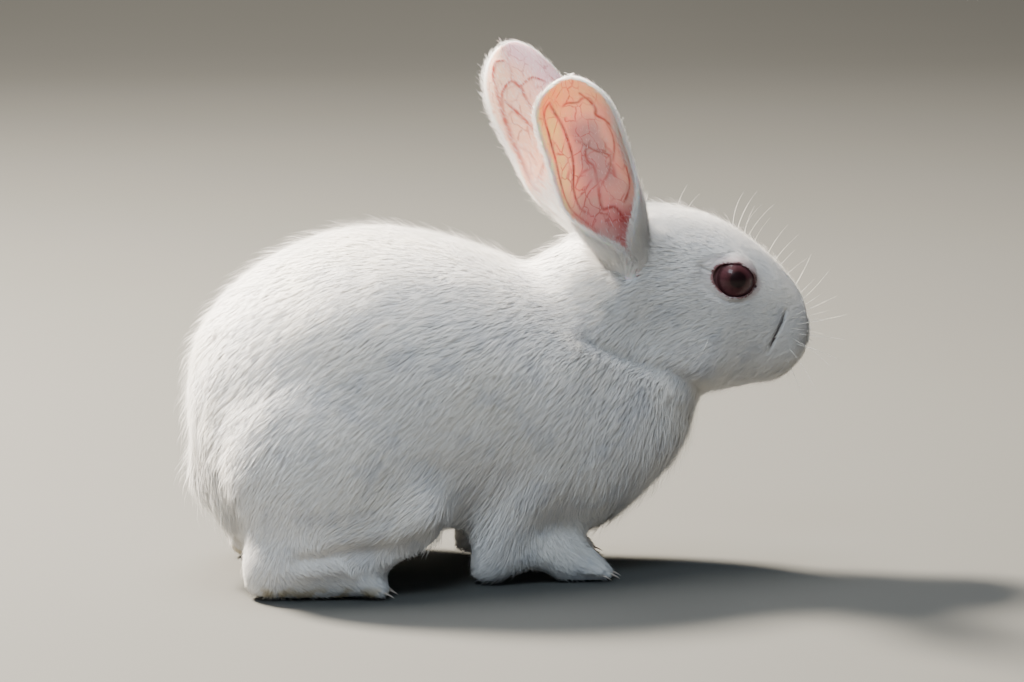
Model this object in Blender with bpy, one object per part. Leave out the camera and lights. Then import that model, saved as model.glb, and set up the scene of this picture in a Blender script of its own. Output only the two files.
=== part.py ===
"""A young white rabbit, crouched with its head raised, as a life-size still model.

The frame is in metres: +Z is up, the nose points along +X and the rabbit's left side is +Y.
The origin is on the ground, under the middle of the model's box. Sizes include the coat.
The flesh is modelled whole and then parted by thin cuts into head, neck, trunk, tail and limbs.
"""

import math

import bmesh
import bpy
from mathutils import Matrix, Vector

MM = 0.001
GAP = 0.35 * MM  # clearance between neighbouring solids
SIDES = {"right": -1, "left": 1}

# Voxel size that welds the forms into one flesh, the smoothing after it, and the share of faces kept.
FLESH_VOXEL = 1.8 * MM
FLESH_SMOOTHING, FLESH_SOFTNESS = 9, 0.6
FINE_SHARE, COARSE_SHARE = 0.092, 0.038

# Trunk, rump to breast: station x, top z, bottom z, half width, all in mm. Squareness 2 is an ellipse.
TRUNK_SQUARENESS, HEAD_SQUARENESS = 2.15, 2.1
TRUNK_STATIONS = [
    (-109.5, 70, 56, 8),
    (-107, 84, 36, 19),
    (-100, 96.5, 20, 29),
    (-87, 109, 8, 39),
    (-66, 120, 7, 46),
    (-42, 124, 12, 48),
    (-18, 120, 15.5, 46),
    (4, 112.5, 16, 42),
    (20, 106, 13.5, 38),
    (32, 101, 14, 35),
    (43, 95.5, 20, 31.5),
    (54, 88, 30, 27),
    (64, 76, 41, 19),
    (70, 65, 52, 9),
]
# Head, nape to nose: station x, top z, bottom z, half width, in mm.
HEAD_STATIONS = [
    (24, 114, 92, 9),
    (31, 124, 82, 17),
    (42, 129.5, 73, 21.5),
    (54, 130.5, 66, 23),
    (66, 129, 61.5, 22),
    (78, 124.5, 61.5, 19.5),
    (88, 118.5, 63.5, 16.5),
    (97, 110.5, 66.5, 13.8),
    (104, 102.5, 69.5, 11.4),
    (108.5, 95, 73.5, 8.6),
    (110.8, 87, 79, 3.8),
]
# Neck, shoulders to skull: centre x, centre z, half depth along the body, half width, in mm.
NECK_STATIONS = [
    (20, 62, 30, 30),
    (26, 78, 31, 29),
    (34, 92, 29, 26),
    (42, 104, 24, 22),
    (47, 112, 18, 17),
]
# Paired forms: centre x, y, z and half sizes x, y, z in mm, then pitch about Y in degrees.
PAIRED_EGGS = {
    "cheek": ((65, 9, 79), (19, 14, 16), 8),
    "brow": ((76, 11.5, 107), (13, 7.6, 10), 30),
    "whisker_pad": ((99.5, 5.6, 80.5), (10, 7.2, 10), 25),
    "shoulder": ((12, 24, 58), (25, 15, 37), 18),
    "thigh": ((-60, 29, 47), (40, 23, 42), -14),
}
CHIN_EGG = ((96, 0, 70.5), (10, 8, 6.5), -14)
TAIL_EGG = ((-103, 0, 43), (7.5, 10, 18), 6)
# Limbs as tapering tubes: points x, y, z and a radius, in mm, for the side whose y is positive.
SHANK = [((-34, 36, 30), 15), ((-60, 36, 21), 14), ((-84, 33, 14), 11)]
HEEL_TO_TOES = [
    ((-86, 32.5, 7.0), 8.6),
    ((-75, 34, 6.4), 8.0),
    ((-64, 35, 7.0), 8.4),
    ((-55, 35.5, 7.7), 8.6),
]
UPPER_ARM = [((10, 25, 40), 14), ((0, 24, 26), 12), ((-4, 23, 15), 10)]
FOREARM = [((-6, 22.5, 7.6), 8.6), ((7, 22, 14), 9.0), ((20, 20.5, 9.5), 9.0)]
PAW = [((20, 20.5, 6.8), 8.2), ((27, 20.5, 5.8), 7.4)]
TOES = 4
HIND_TOE_ROOT, HIND_TOE_TIP, HIND_TOE_RADII = (-55, 35.5, 9.5), (-45, 36.5, 2.7), (5.0, 3.6)
FORE_TOE_ROOT, FORE_TOE_TIP, FORE_TOE_RADII = (28, 20.5, 6.2), (36.4, 20.5, 2.2), (4.1, 3.0)
HIND_TOE_SPREAD, FORE_TOE_SPREAD = 4.3, 3.8
TOE_ROOT_CLOSENESS = 0.8  # the roots' spread as a share of the tips'
OUTER_TOE_STEP_BACK = 0.9

# Cuts that part the flesh. Planes: point in mm and the way towards the head.
HEAD_CUT = ((44, 0, 89), (0.865, 0, 0.502))
NECK_CUT = ((28, 0, 80), (0.85, 0, 0.53))
# Eggs that the upper limbs and the tail are cut out with, and boxes for the feet: centre, half sizes, pitch.
THIGH_CUT = ((-60, 46, 45), (43, 29, 46), -14)
SHOULDER_CUT = ((10, 40, 50), (30, 27, 40), 18)
HIND_FOOT_CUT = ((-70, 36, 1), (32, 15, 13), -4)
FORE_FOOT_CUT = ((12, 22.5, 0), (40, 12.5, 12.4), 0)
TAIL_CUT_GROWTH = 0.8 * MM

# Eyes: an eyeball sunk in the head on each side.
EYE_CENTRE, EYE_RADIUS = (80.0, 12.8, 104.5), 8.2

# Ears: base and tip of the back's midline, and the way the opening faces, for each side.
EAR_BASE = {"right": (41.5, -8.5, 107), "left": (39.5, 8.5, 107)}
EAR_TIP = {"right": (18.6, -27, 179.5), "left": (4.2, 26, 182.5)}
EAR_FACES = {"right": (-0.36, -1, 0), "left": (-0.3, 1, 0)}
EAR_HALF_WIDTH, EAR_WIDEST = 14.7, 0.54  # at the widest place, a share of the length from the base
EAR_TUBE_RADIUS, EAR_TIP_HALF_WIDTH = 7.4, 2.5
EAR_RISE, EAR_TIP_ROUNDNESS = 1.25, 3.1
EAR_BOW = 3.5  # how far the back bows out halfway up
EAR_THICKNESS = 2.2
EAR_REAR_CURL, EAR_FRONT_CURL = 52, 76  # degrees round the blade from the back's midline
EAR_TUBE_CURL = 160  # the same at the base, where the margins nearly meet
EAR_TUBE_ENDS, EAR_BLADE_STARTS = 0.13, 0.46
EAR_ROWS, EAR_COLUMNS = 14, 9


def clear_scene():
    for thing in list(bpy.data.objects):
        bpy.data.objects.remove(thing)


def material(name, colour, roughness):
    made = bpy.data.materials.new(name)
    made.use_nodes = True
    shader = made.node_tree.nodes["Principled BSDF"]
    shader.inputs["Base Color"].default_value = (*colour, 1)
    shader.inputs["Roughness"].default_value = roughness
    shader.inputs["Metallic"].default_value = 0
    made.diffuse_color = (*colour, 1)
    return made


def between(a, b, c, d, t):
    """The value at share t of the way from b to c, on a smooth curve through a, b, c and d."""
    square = (2 * a - 5 * b + 4 * c - d) * t**2
    cube = (3 * b - a - 3 * c + d) * t**3
    return 0.5 * (2 * b + (c - a) * t + square + cube)


def smoothed_rows(rows, steps):
    """Rows of numbers with steps new rows in each span, on a curve through the given ones."""
    found = []
    last = len(rows) - 1
    for i in range(last):
        before, start, end, after = (rows[max(i - 1, 0)], rows[i], rows[i + 1], rows[min(i + 2, last)])
        for k in range(steps):
            t = k / steps
            found.append([between(a, b, c, d, t) for a, b, c, d in zip(before, start, end, after)])
    found.append(list(rows[-1]))
    return found


def ring(bm, centre, across, up, squareness=2.0, count=28):
    """A closed ring of vertices: an ellipse with half axes across and up, or squarer above 2."""
    vertices = []
    for i in range(count):
        angle = 2 * math.pi * i / count
        c, s = math.cos(angle), math.sin(angle)
        c = math.copysign(abs(c) ** (2 / squareness), c)
        s = math.copysign(abs(s) ** (2 / squareness), s)
        vertices.append(bm.verts.new(centre + across * c + up * s))
    return vertices


def skin_rings(bm, rings):
    """Sides between neighbouring rings, and a cap on each end."""
    for first, second in zip(rings, rings[1:]):
        for i in range(len(first)):
            j = (i + 1) % len(first)
            bm.faces.new((first[i], first[j], second[j], second[i]))
    bm.faces.new(rings[0][::-1])
    bm.faces.new(rings[-1])


def add_loft_along_x(bm, stations, squareness):
    rings = []
    for x, top, bottom, half_width in smoothed_rows(stations, 4):
        centre = Vector((x, 0, (top + bottom) / 2)) * MM
        across = Vector((0, half_width, 0)) * MM
        up = Vector((0, 0, (top - bottom) / 2)) * MM
        rings.append(ring(bm, centre, across, up, squareness))
    skin_rings(bm, rings)


def add_neck(bm):
    rings = []
    rows = smoothed_rows(NECK_STATIONS, 3)
    for i, (x, z, depth, width) in enumerate(rows):
        ahead, behind = rows[min(i + 1, len(rows) - 1)], rows[max(i - 1, 0)]
        along = Vector((ahead[0] - behind[0], 0, ahead[1] - behind[1])).normalized()
        front = Vector((along.z, 0, -along.x))
        rings.append(ring(bm, Vector((x, 0, z)) * MM, front * depth * MM, Vector((0, width, 0)) * MM))
    skin_rings(bm, rings)


def ball_template(segments, rings):
    """Points and faces of a unit ball, made once and copied to every place that needs one."""
    bm = bmesh.new()
    bmesh.ops.create_uvsphere(bm, u_segments=segments, v_segments=rings, radius=1)
    bm.verts.index_update()
    points = [vertex.co.copy() for vertex in bm.verts]
    faces = [[vertex.index for vertex in face.verts] for face in bm.faces]
    bm.free()
    return points, faces


EGG_BALL = ball_template(32, 20)
LIMB_BALL = ball_template(18, 12)
CUT_BALL = ball_template(16, 10)


def add_ball(bm, template, matrix):
    points, faces = template
    vertices = [bm.verts.new(matrix @ point) for point in points]
    for face in faces:
        bm.faces.new([vertices[i] for i in face])


def add_egg(bm, centre, half_sizes, pitch, template=EGG_BALL):
    matrix = (
        Matrix.Translation(Vector(centre) * MM)
        @ Matrix.Rotation(math.radians(pitch), 4, "Y")
        @ Matrix.Diagonal((*[size * MM for size in half_sizes], 1))
    )
    add_ball(bm, template, matrix)


def add_limb(bm, points, radius_steps=4):
    """A tapering tube with round ends through points, each ((x, y, z), radius) in mm."""
    rows = smoothed_rows([(*place, radius) for place, radius in points], radius_steps)
    for x, y, z, radius in rows:
        add_ball(bm, LIMB_BALL, Matrix.Translation(Vector((x, y, z)) * MM) @ Matrix.Scale(radius * MM, 4))


def mirrored(place, side):
    return (place[0], place[1] * side, place[2])


def add_toes(bm, root, tip, radii, spread, side):
    for i in range(TOES):
        offset = (i - (TOES - 1) / 2) * spread
        shorter = OUTER_TOE_STEP_BACK * abs(i - (TOES - 1) / 2) ** 2
        start = (root[0], root[1] + offset * TOE_ROOT_CLOSENESS, root[2])
        end = (tip[0] - shorter, tip[1] + offset, tip[2])
        add_limb(bm, [(mirrored(start, side), radii[0]), (mirrored(end, side), radii[1])])


def flesh_forms():
    """All the forms of head, neck, trunk and limbs, overlapping, in one mesh."""
    bm = bmesh.new()
    add_loft_along_x(bm, TRUNK_STATIONS, TRUNK_SQUARENESS)
    add_loft_along_x(bm, HEAD_STATIONS, HEAD_SQUARENESS)
    add_neck(bm)
    add_egg(bm, *CHIN_EGG)
    add_egg(bm, *TAIL_EGG)
    for side in SIDES.values():
        for centre, half_sizes, pitch in PAIRED_EGGS.values():
            add_egg(bm, mirrored(centre, side), half_sizes, pitch)
        for limb in (SHANK, HEEL_TO_TOES, UPPER_ARM, FOREARM, PAW):
            add_limb(bm, [(mirrored(place, side), radius) for place, radius in limb])
        add_toes(bm, HIND_TOE_ROOT, HIND_TOE_TIP, HIND_TOE_RADII, HIND_TOE_SPREAD, side)
        add_toes(bm, FORE_TOE_ROOT, FORE_TOE_TIP, FORE_TOE_RADII, FORE_TOE_SPREAD, side)
    return finished(bm, "flesh_forms")


def helper(name, mesh):
    """An object that shapes others and is no part of the rabbit."""
    made = bpy.data.objects.new(name, mesh)
    made.hide_render = True
    made.display_type = "WIRE"
    bpy.context.scene.collection.objects.link(made)
    return made


def frozen(source, name):
    """The object's mesh with its modifiers applied."""
    bpy.context.view_layer.update()
    graph = bpy.context.evaluated_depsgraph_get()
    mesh = bpy.data.meshes.new_from_object(source.evaluated_get(graph))
    mesh.name = name
    return mesh


def welded_flesh():
    source = helper("flesh_source", flesh_forms())
    weld = source.modifiers.new("weld", "REMESH")
    weld.mode = "VOXEL"
    weld.voxel_size = FLESH_VOXEL
    soften = source.modifiers.new("soften", "SMOOTH")
    soften.factor = FLESH_SOFTNESS
    soften.iterations = FLESH_SMOOTHING
    mesh = frozen(source, "flesh_welded")
    bpy.data.objects.remove(source)
    return mesh


def thinned(mesh, share, name):
    source = helper(name + "_source", mesh)
    fewer = source.modifiers.new("fewer", "DECIMATE")
    fewer.ratio = share
    found = frozen(source, name)
    bpy.data.objects.remove(source)
    return found


def box_cutter(name, centre, half_sizes, pitch, grown=0.0):
    bm = bmesh.new()
    matrix = (
        Matrix.Translation(Vector(centre) * MM)
        @ Matrix.Rotation(math.radians(pitch), 4, "Y")
        @ Matrix.Diagonal((*[2 * (size * MM + grown) for size in half_sizes], 1))
    )
    bmesh.ops.create_cube(bm, size=1, matrix=matrix)
    return helper(name, finished(bm, name))


def egg_cutter(name, centre, half_sizes, pitch, grown=0.0):
    bm = bmesh.new()
    add_egg(bm, centre, [size + grown / MM for size in half_sizes], pitch, CUT_BALL)
    return helper(name, finished(bm, name))


def half_space(name, point, normal, moved=0.0):
    """A large box filling the side of a plane that normal points to; moved shifts the plane that way."""
    reach = 600
    turn = Vector(normal).to_track_quat("Z", "Y").to_matrix().to_4x4()
    made = box_cutter(name, (0, 0, reach), (reach, reach, reach), 0)
    made.data.transform(Matrix.Translation(Vector(point) * MM + Vector(normal).normalized() * moved) @ turn)
    return made


def finished(bm, name):
    mesh = bpy.data.meshes.new(name)
    bm.to_mesh(mesh)
    bm.free()
    return mesh


def node(name, mesh, finish, keep=(), cut=()):
    """A named solid: mesh, kept only inside each of keep, and cut by each of cut."""
    made = bpy.data.objects.new(name, mesh.copy())
    made.data.name = name
    made.data.materials.clear()
    made.data.materials.append(finish)
    bpy.context.scene.collection.objects.link(made)
    add_booleans(made, "INTERSECT", keep)
    add_booleans(made, "DIFFERENCE", cut)
    made.data.shade_smooth()
    return made


def add_booleans(target, operation, tools):
    for tool in tools:
        modifier = target.modifiers.new(tool.name, "BOOLEAN")
        modifier.operation = operation
        modifier.object = tool


def ear_half_width(s):
    """Half width of the ear in mm at share s of its length: a tube, then a blade with a round tip."""
    if s < EAR_WIDEST:
        rise = math.sin(0.5 * math.pi * s / EAR_WIDEST) ** EAR_RISE
        return EAR_TUBE_RADIUS + (EAR_HALF_WIDTH - EAR_TUBE_RADIUS) * rise
    fall = (s - EAR_WIDEST) / (1 - EAR_WIDEST)
    return max(EAR_HALF_WIDTH * (1 - fall**EAR_TIP_ROUNDNESS) ** 0.5, EAR_TIP_HALF_WIDTH)


def ear_mesh(name, base, tip, faces):
    """A cupped blade that closes into a tube at its base. Its rows start at the rear margin."""
    start, end = Vector(base) * MM, Vector(tip) * MM
    axis = (end - start).normalized()
    opening = Vector(faces)
    opening = (opening - axis * opening.dot(axis)).normalized()
    front = opening.cross(axis)
    if front.x < 0:
        front = -front
    bm = bmesh.new()
    rows = []
    for i in range(EAR_ROWS + 1):
        s = i / EAR_ROWS
        unrolled = min(max((s - EAR_TUBE_ENDS) / (EAR_BLADE_STARTS - EAR_TUBE_ENDS), 0), 1)
        closing = (1 - unrolled) ** 1.2
        rear = math.radians(EAR_REAR_CURL + (EAR_TUBE_CURL - EAR_REAR_CURL) * closing)
        fore = math.radians(EAR_FRONT_CURL + (EAR_TUBE_CURL - EAR_FRONT_CURL) * closing)
        reach_rear, reach_fore = math.sin(min(rear, math.pi / 2)), math.sin(min(fore, math.pi / 2))
        radius = 2 * ear_half_width(s) * MM / (reach_rear + reach_fore)
        shift = radius * (reach_rear - reach_fore) / 2
        spine = start.lerp(end, s) + front * shift - opening * (EAR_BOW * math.sin(math.pi * s) * MM)
        row = []
        for j in range(EAR_COLUMNS + 1):
            angle = -rear + (rear + fore) * j / EAR_COLUMNS
            curled = front * radius * math.sin(angle) + opening * radius * (1 - math.cos(angle))
            row.append(bm.verts.new(spine + curled))
        rows.append(row)
    for first, second in zip(rows, rows[1:]):
        for j in range(EAR_COLUMNS):
            bm.faces.new((first[j], first[j + 1], second[j + 1], second[j]))
    source = helper(name + "_sheet", finished(bm, name))
    thick = source.modifiers.new("thick", "SOLIDIFY")
    thick.thickness = EAR_THICKNESS * MM
    thick.offset = 0
    thick.use_even_offset = True
    solid = frozen(source, name)
    bpy.data.objects.remove(source)
    return facing_out(solid)


def facing_out(mesh):
    bm = bmesh.new()
    bm.from_mesh(mesh)
    bmesh.ops.recalc_face_normals(bm, faces=bm.faces)
    bm.to_mesh(mesh)
    bm.free()
    return mesh


def grounded(mesh, name):
    """The mesh above the ground only, so that what would dip below it rests on small flats."""
    source = helper(name + "_source", mesh)
    ground = half_space(name + "_ground", (0, 0, 0), (0, 0, 1))
    add_booleans(source, "INTERSECT", [ground])
    found = frozen(source, name)
    bpy.data.objects.remove(source)
    bpy.data.objects.remove(ground)
    return found


def grown_flesh(mesh):
    made = helper("flesh_grown", mesh.copy())
    swell = made.modifiers.new("swell", "DISPLACE")
    swell.strength = GAP
    swell.mid_level = 0
    return made


def build():
    clear_scene()
    coat = material("white_coat", (0.90, 0.89, 0.87), 0.85)
    ear_skin = material("ear_skin", (0.90, 0.62, 0.55), 0.6)
    eye_ruby = material("eye_ruby", (0.22, 0.05, 0.06), 0.08)

    flesh = welded_flesh()
    fine = grounded(thinned(flesh, FINE_SHARE, "flesh_fine"), "fine")
    coarse = grounded(thinned(flesh, COARSE_SHARE, "flesh_coarse"), "coarse")

    in_head = half_space("in_head", *HEAD_CUT, GAP / 2)
    behind_head = half_space("behind_head", *HEAD_CUT, -GAP / 2)
    in_neck = half_space("in_neck", *NECK_CUT, GAP / 2)
    behind_neck = half_space("behind_neck", *NECK_CUT, -GAP / 2)
    tail_cut = egg_cutter("tail_cut", *TAIL_EGG, TAIL_CUT_GROWTH)
    around_tail = egg_cutter("around_tail", *TAIL_EGG, TAIL_CUT_GROWTH + GAP)

    sockets, around_limbs = [], []
    flesh_grown = grown_flesh(fine)
    for name, side in SIDES.items():
        eye = egg_cutter("eye_ball_" + name, mirrored(EYE_CENTRE, side), [EYE_RADIUS] * 3, 0)
        node("eye_" + name, eye.data, eye_ruby)
        sockets.append(egg_cutter("socket_" + name, mirrored(EYE_CENTRE, side), [EYE_RADIUS] * 3, 0, GAP))
        ear = ear_mesh("ear_" + name, EAR_BASE[name], EAR_TIP[name], EAR_FACES[name])
        node("ear_" + name, ear, ear_skin, cut=[flesh_grown])

        # Each limb gives way to the ones before it here.
        limbs = {
            "hindfoot_": (box_cutter, HIND_FOOT_CUT),
            "forefoot_": (box_cutter, FORE_FOOT_CUT),
            "hindleg_": (egg_cutter, THIGH_CUT),
            "foreleg_": (egg_cutter, SHOULDER_CUT),
        }
        around = []
        for limb, (cutter, (centre, half_sizes, pitch)) in limbs.items():
            shape = (mirrored(centre, side), half_sizes, pitch)
            inside = cutter(limb + name + "_cut", *shape)
            cuts = [*around, in_neck] if limb == "foreleg_" else list(around)
            node(limb + name, coarse, coat, keep=[inside], cut=cuts)
            around.append(cutter("around_" + limb + name, *shape, GAP))
        around_limbs += around

    node("head", fine, coat, keep=[in_head], cut=sockets)
    node("neck", coarse, coat, keep=[in_neck], cut=[behind_head])
    node("trunk", coarse, coat, cut=[behind_neck, around_tail, *around_limbs])
    node("tail", coarse, coat, keep=[tail_cut])


build()
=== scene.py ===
# %% [markdown]
# # A young white rabbit, life size
#
# A still model such as a museum shows: a crouching young rabbit with its head up and its ears
# raised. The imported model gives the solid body, divided where a person would name its parts.
# This lesson dresses it: one skin without a seam, eyes, ears with their veins, claws, whiskers,
# and a coat of about three hundred thousand thin tufts that lie the way real fur does.
#
# The frame is in metres. +Z is up, the nose points along +X and the rabbit's left side is +Y.

# %% Load the frame
import math
from collections import namedtuple

import bmesh
import bpy
import numpy as np
from mathutils import Matrix, Vector
from mathutils.bvhtree import BVHTree


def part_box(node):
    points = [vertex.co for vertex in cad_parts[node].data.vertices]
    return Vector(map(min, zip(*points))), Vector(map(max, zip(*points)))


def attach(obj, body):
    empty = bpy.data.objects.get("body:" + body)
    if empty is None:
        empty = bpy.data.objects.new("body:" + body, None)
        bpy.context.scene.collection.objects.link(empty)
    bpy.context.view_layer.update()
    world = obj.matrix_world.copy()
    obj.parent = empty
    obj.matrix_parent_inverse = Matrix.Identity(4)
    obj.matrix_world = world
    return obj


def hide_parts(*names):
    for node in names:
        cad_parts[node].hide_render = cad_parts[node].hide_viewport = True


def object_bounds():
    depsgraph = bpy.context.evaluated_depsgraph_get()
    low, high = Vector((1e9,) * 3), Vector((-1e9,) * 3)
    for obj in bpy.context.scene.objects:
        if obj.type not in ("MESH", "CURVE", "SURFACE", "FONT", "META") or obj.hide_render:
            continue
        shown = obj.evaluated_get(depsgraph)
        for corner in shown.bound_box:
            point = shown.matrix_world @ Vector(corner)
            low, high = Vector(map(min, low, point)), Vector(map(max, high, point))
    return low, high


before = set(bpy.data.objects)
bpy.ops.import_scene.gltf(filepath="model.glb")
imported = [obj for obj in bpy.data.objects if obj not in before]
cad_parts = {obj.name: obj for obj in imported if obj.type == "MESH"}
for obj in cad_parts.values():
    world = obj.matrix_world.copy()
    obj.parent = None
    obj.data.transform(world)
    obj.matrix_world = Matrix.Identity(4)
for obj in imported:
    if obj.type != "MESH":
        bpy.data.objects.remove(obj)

MM = 0.001
CAD_LOW, CAD_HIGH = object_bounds()
SIDES = {"right": -1, "left": 1}
SCENE = bpy.context.scene
print("frame box, mm:", [round(v / MM, 1) for v in (*CAD_LOW, *CAD_HIGH)])

# %% [markdown]
# ## Sums on nodes
#
# Materials and Geometry Nodes trees are both built from small maths nodes. Wiring them by hand is
# slow to read, so one small class wraps a node's output and lets Python's own + - * / add the
# nodes. Anything that isn't arithmetic comes from one method that takes the node's type, its
# settings and its inputs.

# %% A value on a node tree


class Value:
    """One output of a node. Arithmetic on it adds maths nodes to the same tree."""

    def __init__(self, tree, socket):
        self.tree, self.socket = tree, socket

    def __add__(self, other):
        return sums("ADD", self, other)

    def __sub__(self, other):
        return sums("SUBTRACT", self, other)

    def __rsub__(self, other):
        return sums("SUBTRACT", other, self)

    def __mul__(self, other):
        return sums("MULTIPLY", self, other)

    def __truediv__(self, other):
        return sums("DIVIDE", self, other)

    def __rtruediv__(self, other):
        return sums("DIVIDE", other, self)

    __radd__, __rmul__ = __add__, __mul__


def is_vector(value):
    return value.socket.type == "VECTOR" if isinstance(value, Value) else isinstance(value, (tuple, Vector))


def sums(operation, *values):
    """A maths node on numbers, or a vector maths node where any of the values is a vector."""
    tree = next(value.tree for value in values if isinstance(value, Value))
    kind = "ShaderNodeVectorMath" if any(map(is_vector, values)) else "ShaderNodeMath"
    return add(tree, kind, {"operation": operation}, list(values))


def add(tree, kind, settings, inputs, output=0):
    """A node of this kind. Its settings come first, then the numbers or links of its sockets."""
    node = tree.nodes.new(kind)
    for name, value in settings.items():
        setattr(node, name, value)
    for key, value in inputs.items() if isinstance(inputs, dict) else enumerate(inputs):
        socket = node.inputs[key]
        if isinstance(value, Value):
            tree.links.new(value.socket, socket)
        elif socket.type == "VECTOR" and isinstance(value, (int, float)):
            socket.default_value = (value, value, value)
        else:
            socket.default_value = value
    return Value(tree, node.outputs[output])

# %% Nodes that most of the materials need
def object_place(tree):
    """Where a point lies in the piece's own metres, which are the frame's."""
    return add(tree, "ShaderNodeTexCoord", {}, {}, "Object")


def part_of(vector, axis):
    """One of a vector's three numbers: X, Y or Z."""
    return add(vector.tree, "ShaderNodeSeparateXYZ", {}, [vector], axis)


def attribute(tree, name, output="Fac"):
    """What a mesh says about itself at each vertex, read by a material."""
    return add(tree, "ShaderNodeAttribute", {"attribute_name": name}, {}, output)


def noise(tree, size, place, detail=2.0, rough=0.5):
    """Soft random patches about size metres across, between 0 and 1."""
    inputs = {"Vector": place, "Scale": 1 / size, "Detail": detail, "Roughness": rough}
    return add(tree, "ShaderNodeTexNoise", {}, inputs)


def between(value, low, high, to_low=0.0, to_high=1.0):
    """The value brought from low..high to to_low..to_high, held at both ends."""
    settings = {"interpolation_type": "SMOOTHSTEP"}
    return add(value.tree, "ShaderNodeMapRange", settings, [value, low, high, to_low, to_high])


def mixed(factor, first, second):
    """Two colours mixed. A colour is a value on the tree, or three numbers."""
    tree = next(v.tree for v in (factor, first, second) if isinstance(v, Value))
    colours = [v if isinstance(v, Value) else (*v, 1) for v in (first, second)]
    return add(tree, "ShaderNodeMix", {"data_type": "RGBA"}, {0: factor, 6: colours[0], 7: colours[1]}, 2)


def material(name, **constants):
    """A material with one Principled shader, and what is the same all over set on the shader itself."""
    made = bpy.data.materials.new(name)
    made.use_nodes = True
    shader = made.node_tree.nodes["Principled BSDF"]
    for socket, value in constants.items():
        shader.inputs[socket.replace("_", " ")].default_value = value
    return made, made.node_tree, shader


def plug(tree, value, shader, socket):
    tree.links.new(value.socket, shader.inputs[socket])


def roughen(tree, height, strength, depth, shader):
    """Fine relief in the shading alone, depth metres deep."""
    inputs = {"Strength": strength, "Distance": depth, "Height": height}
    plug(tree, add(tree, "ShaderNodeBump", {}, inputs), shader, "Normal")

# %% [markdown]
# ## Room, light and camera
#
# White fur on a white floor would vanish, so the floor and backdrop are one matt sheet, which the
# lamps bring up to a pale grey, and it curves up behind the animal. A warm light behind and above
# draws the bright rim along the back and through the ears. A large cool window in front and a soft
# fill from the ceiling open up the shaded side, weakly, because white fur shows its shape by shade.

# %% The floor
MIDDLE = (CAD_LOW + CAD_HIGH) / 2
LENGTH = CAD_HIGH.x - CAD_LOW.x
FLOOR_REACH, FLOOR_BEND, FLOOR_ROWS = 14 * LENGTH, 4 * LENGTH, 16
FLOOR_GREY, FLOOR_GREY_LIGHT, FLOOR_PATCH = (0.068, 0.070, 0.067), (0.076, 0.078, 0.075), 0.3


def new_object(name, data):
    made = bpy.data.objects.new(name, data)
    SCENE.collection.objects.link(made)
    return made


def mesh_of(bm, name):
    mesh = bpy.data.meshes.new(name)
    bm.to_mesh(mesh)
    bm.free()
    return mesh


def make_floor():
    """A floor that rises behind the animal in a quarter round, made as one bent strip."""
    wall = 0.5 * FLOOR_REACH  # how far behind the animal the floor begins to rise
    profile = [(-FLOOR_REACH, 0)]
    for i in range(FLOOR_ROWS + 1):
        angle = 0.5 * math.pi * i / FLOOR_ROWS
        profile.append((wall + FLOOR_BEND * math.sin(angle), FLOOR_BEND * (1 - math.cos(angle))))
    profile.append((wall + FLOOR_BEND, FLOOR_REACH))
    bm = bmesh.new()
    edges = [[bm.verts.new((side * FLOOR_REACH, y, z)) for y, z in profile] for side in (-1, 1)]
    for i in range(len(profile) - 1):
        bm.faces.new((edges[0][i], edges[1][i], edges[1][i + 1], edges[0][i + 1]))
    floor = new_object("floor", mesh_of(bm, "floor"))
    floor.data.shade_smooth()
    finish, tree, shader = material("matt_floor", Roughness=0.85)
    patches = noise(tree, FLOOR_PATCH, object_place(tree))
    plug(tree, mixed(patches, FLOOR_GREY, FLOOR_GREY_LIGHT), shader, "Base Color")
    floor.data.materials.append(finish)


make_floor()
print("floor", round(2 * FLOOR_REACH, 1), "m wide")

# %% Camera and lamps
CAMERA_TURN, CAMERA_RISE = math.radians(-8), math.radians(10)
CAMERA_DISTANCE = 7 * LENGTH
FRAME_WIDTH = 1.62 * LENGTH
AIM = Vector((MIDDLE.x + 0.0196 * LENGTH, 0, 0.4445 * CAD_HIGH.z))
# Lamp: place from the animal's middle and size, in body lengths, then watts and colour
LAMPS = {
    "sun_behind": ((-3.2, 2.8, 4.6), 1.2, 225, (1.0, 0.88, 0.72)),
    "window": ((-2.2, -4.6, 5.6), 2.6, 16, (0.76, 0.89, 1.0)),
    "ceiling": ((-0.5, 0.4, 6.0), 3.0, 28, (1.0, 0.98, 0.95)),
}
ROOM_LIGHT = {"Color": (0.44, 0.55, 0.70, 1), "Strength": 0.16}


def lamp(name, place, size, watts, colour):
    """A soft square lamp that faces the animal."""
    light = bpy.data.lights.new(name, "AREA")
    light.size, light.energy, light.color = size * LENGTH, watts, colour
    made = new_object(name, light)
    made.location = MIDDLE + Vector(place) * LENGTH
    made.rotation_euler = (MIDDLE - made.location).to_track_quat("-Z", "Y").to_euler()


def make_camera():
    lens = bpy.data.cameras.new("camera")
    lens.sensor_width = 36
    lens.lens = lens.sensor_width * CAMERA_DISTANCE / FRAME_WIDTH
    made = new_object("camera", lens)
    across = math.cos(CAMERA_RISE)
    way = Vector((math.sin(CAMERA_TURN) * across, -math.cos(CAMERA_TURN) * across, math.sin(CAMERA_RISE)))
    made.location = AIM + way * CAMERA_DISTANCE
    made.rotation_euler = (-way).to_track_quat("-Z", "Y").to_euler()
    SCENE.camera = made


make_camera()
for name, settings in LAMPS.items():
    lamp(name, *settings)
SCENE.world = bpy.data.worlds.new("room")
SCENE.world.use_nodes = True
for socket, value in ROOM_LIGHT.items():
    SCENE.world.node_tree.nodes["Background"].inputs[socket].default_value = value
print("camera", round(CAMERA_DISTANCE, 3), "m away, frame", round(FRAME_WIDTH / MM), "mm wide")

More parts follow.
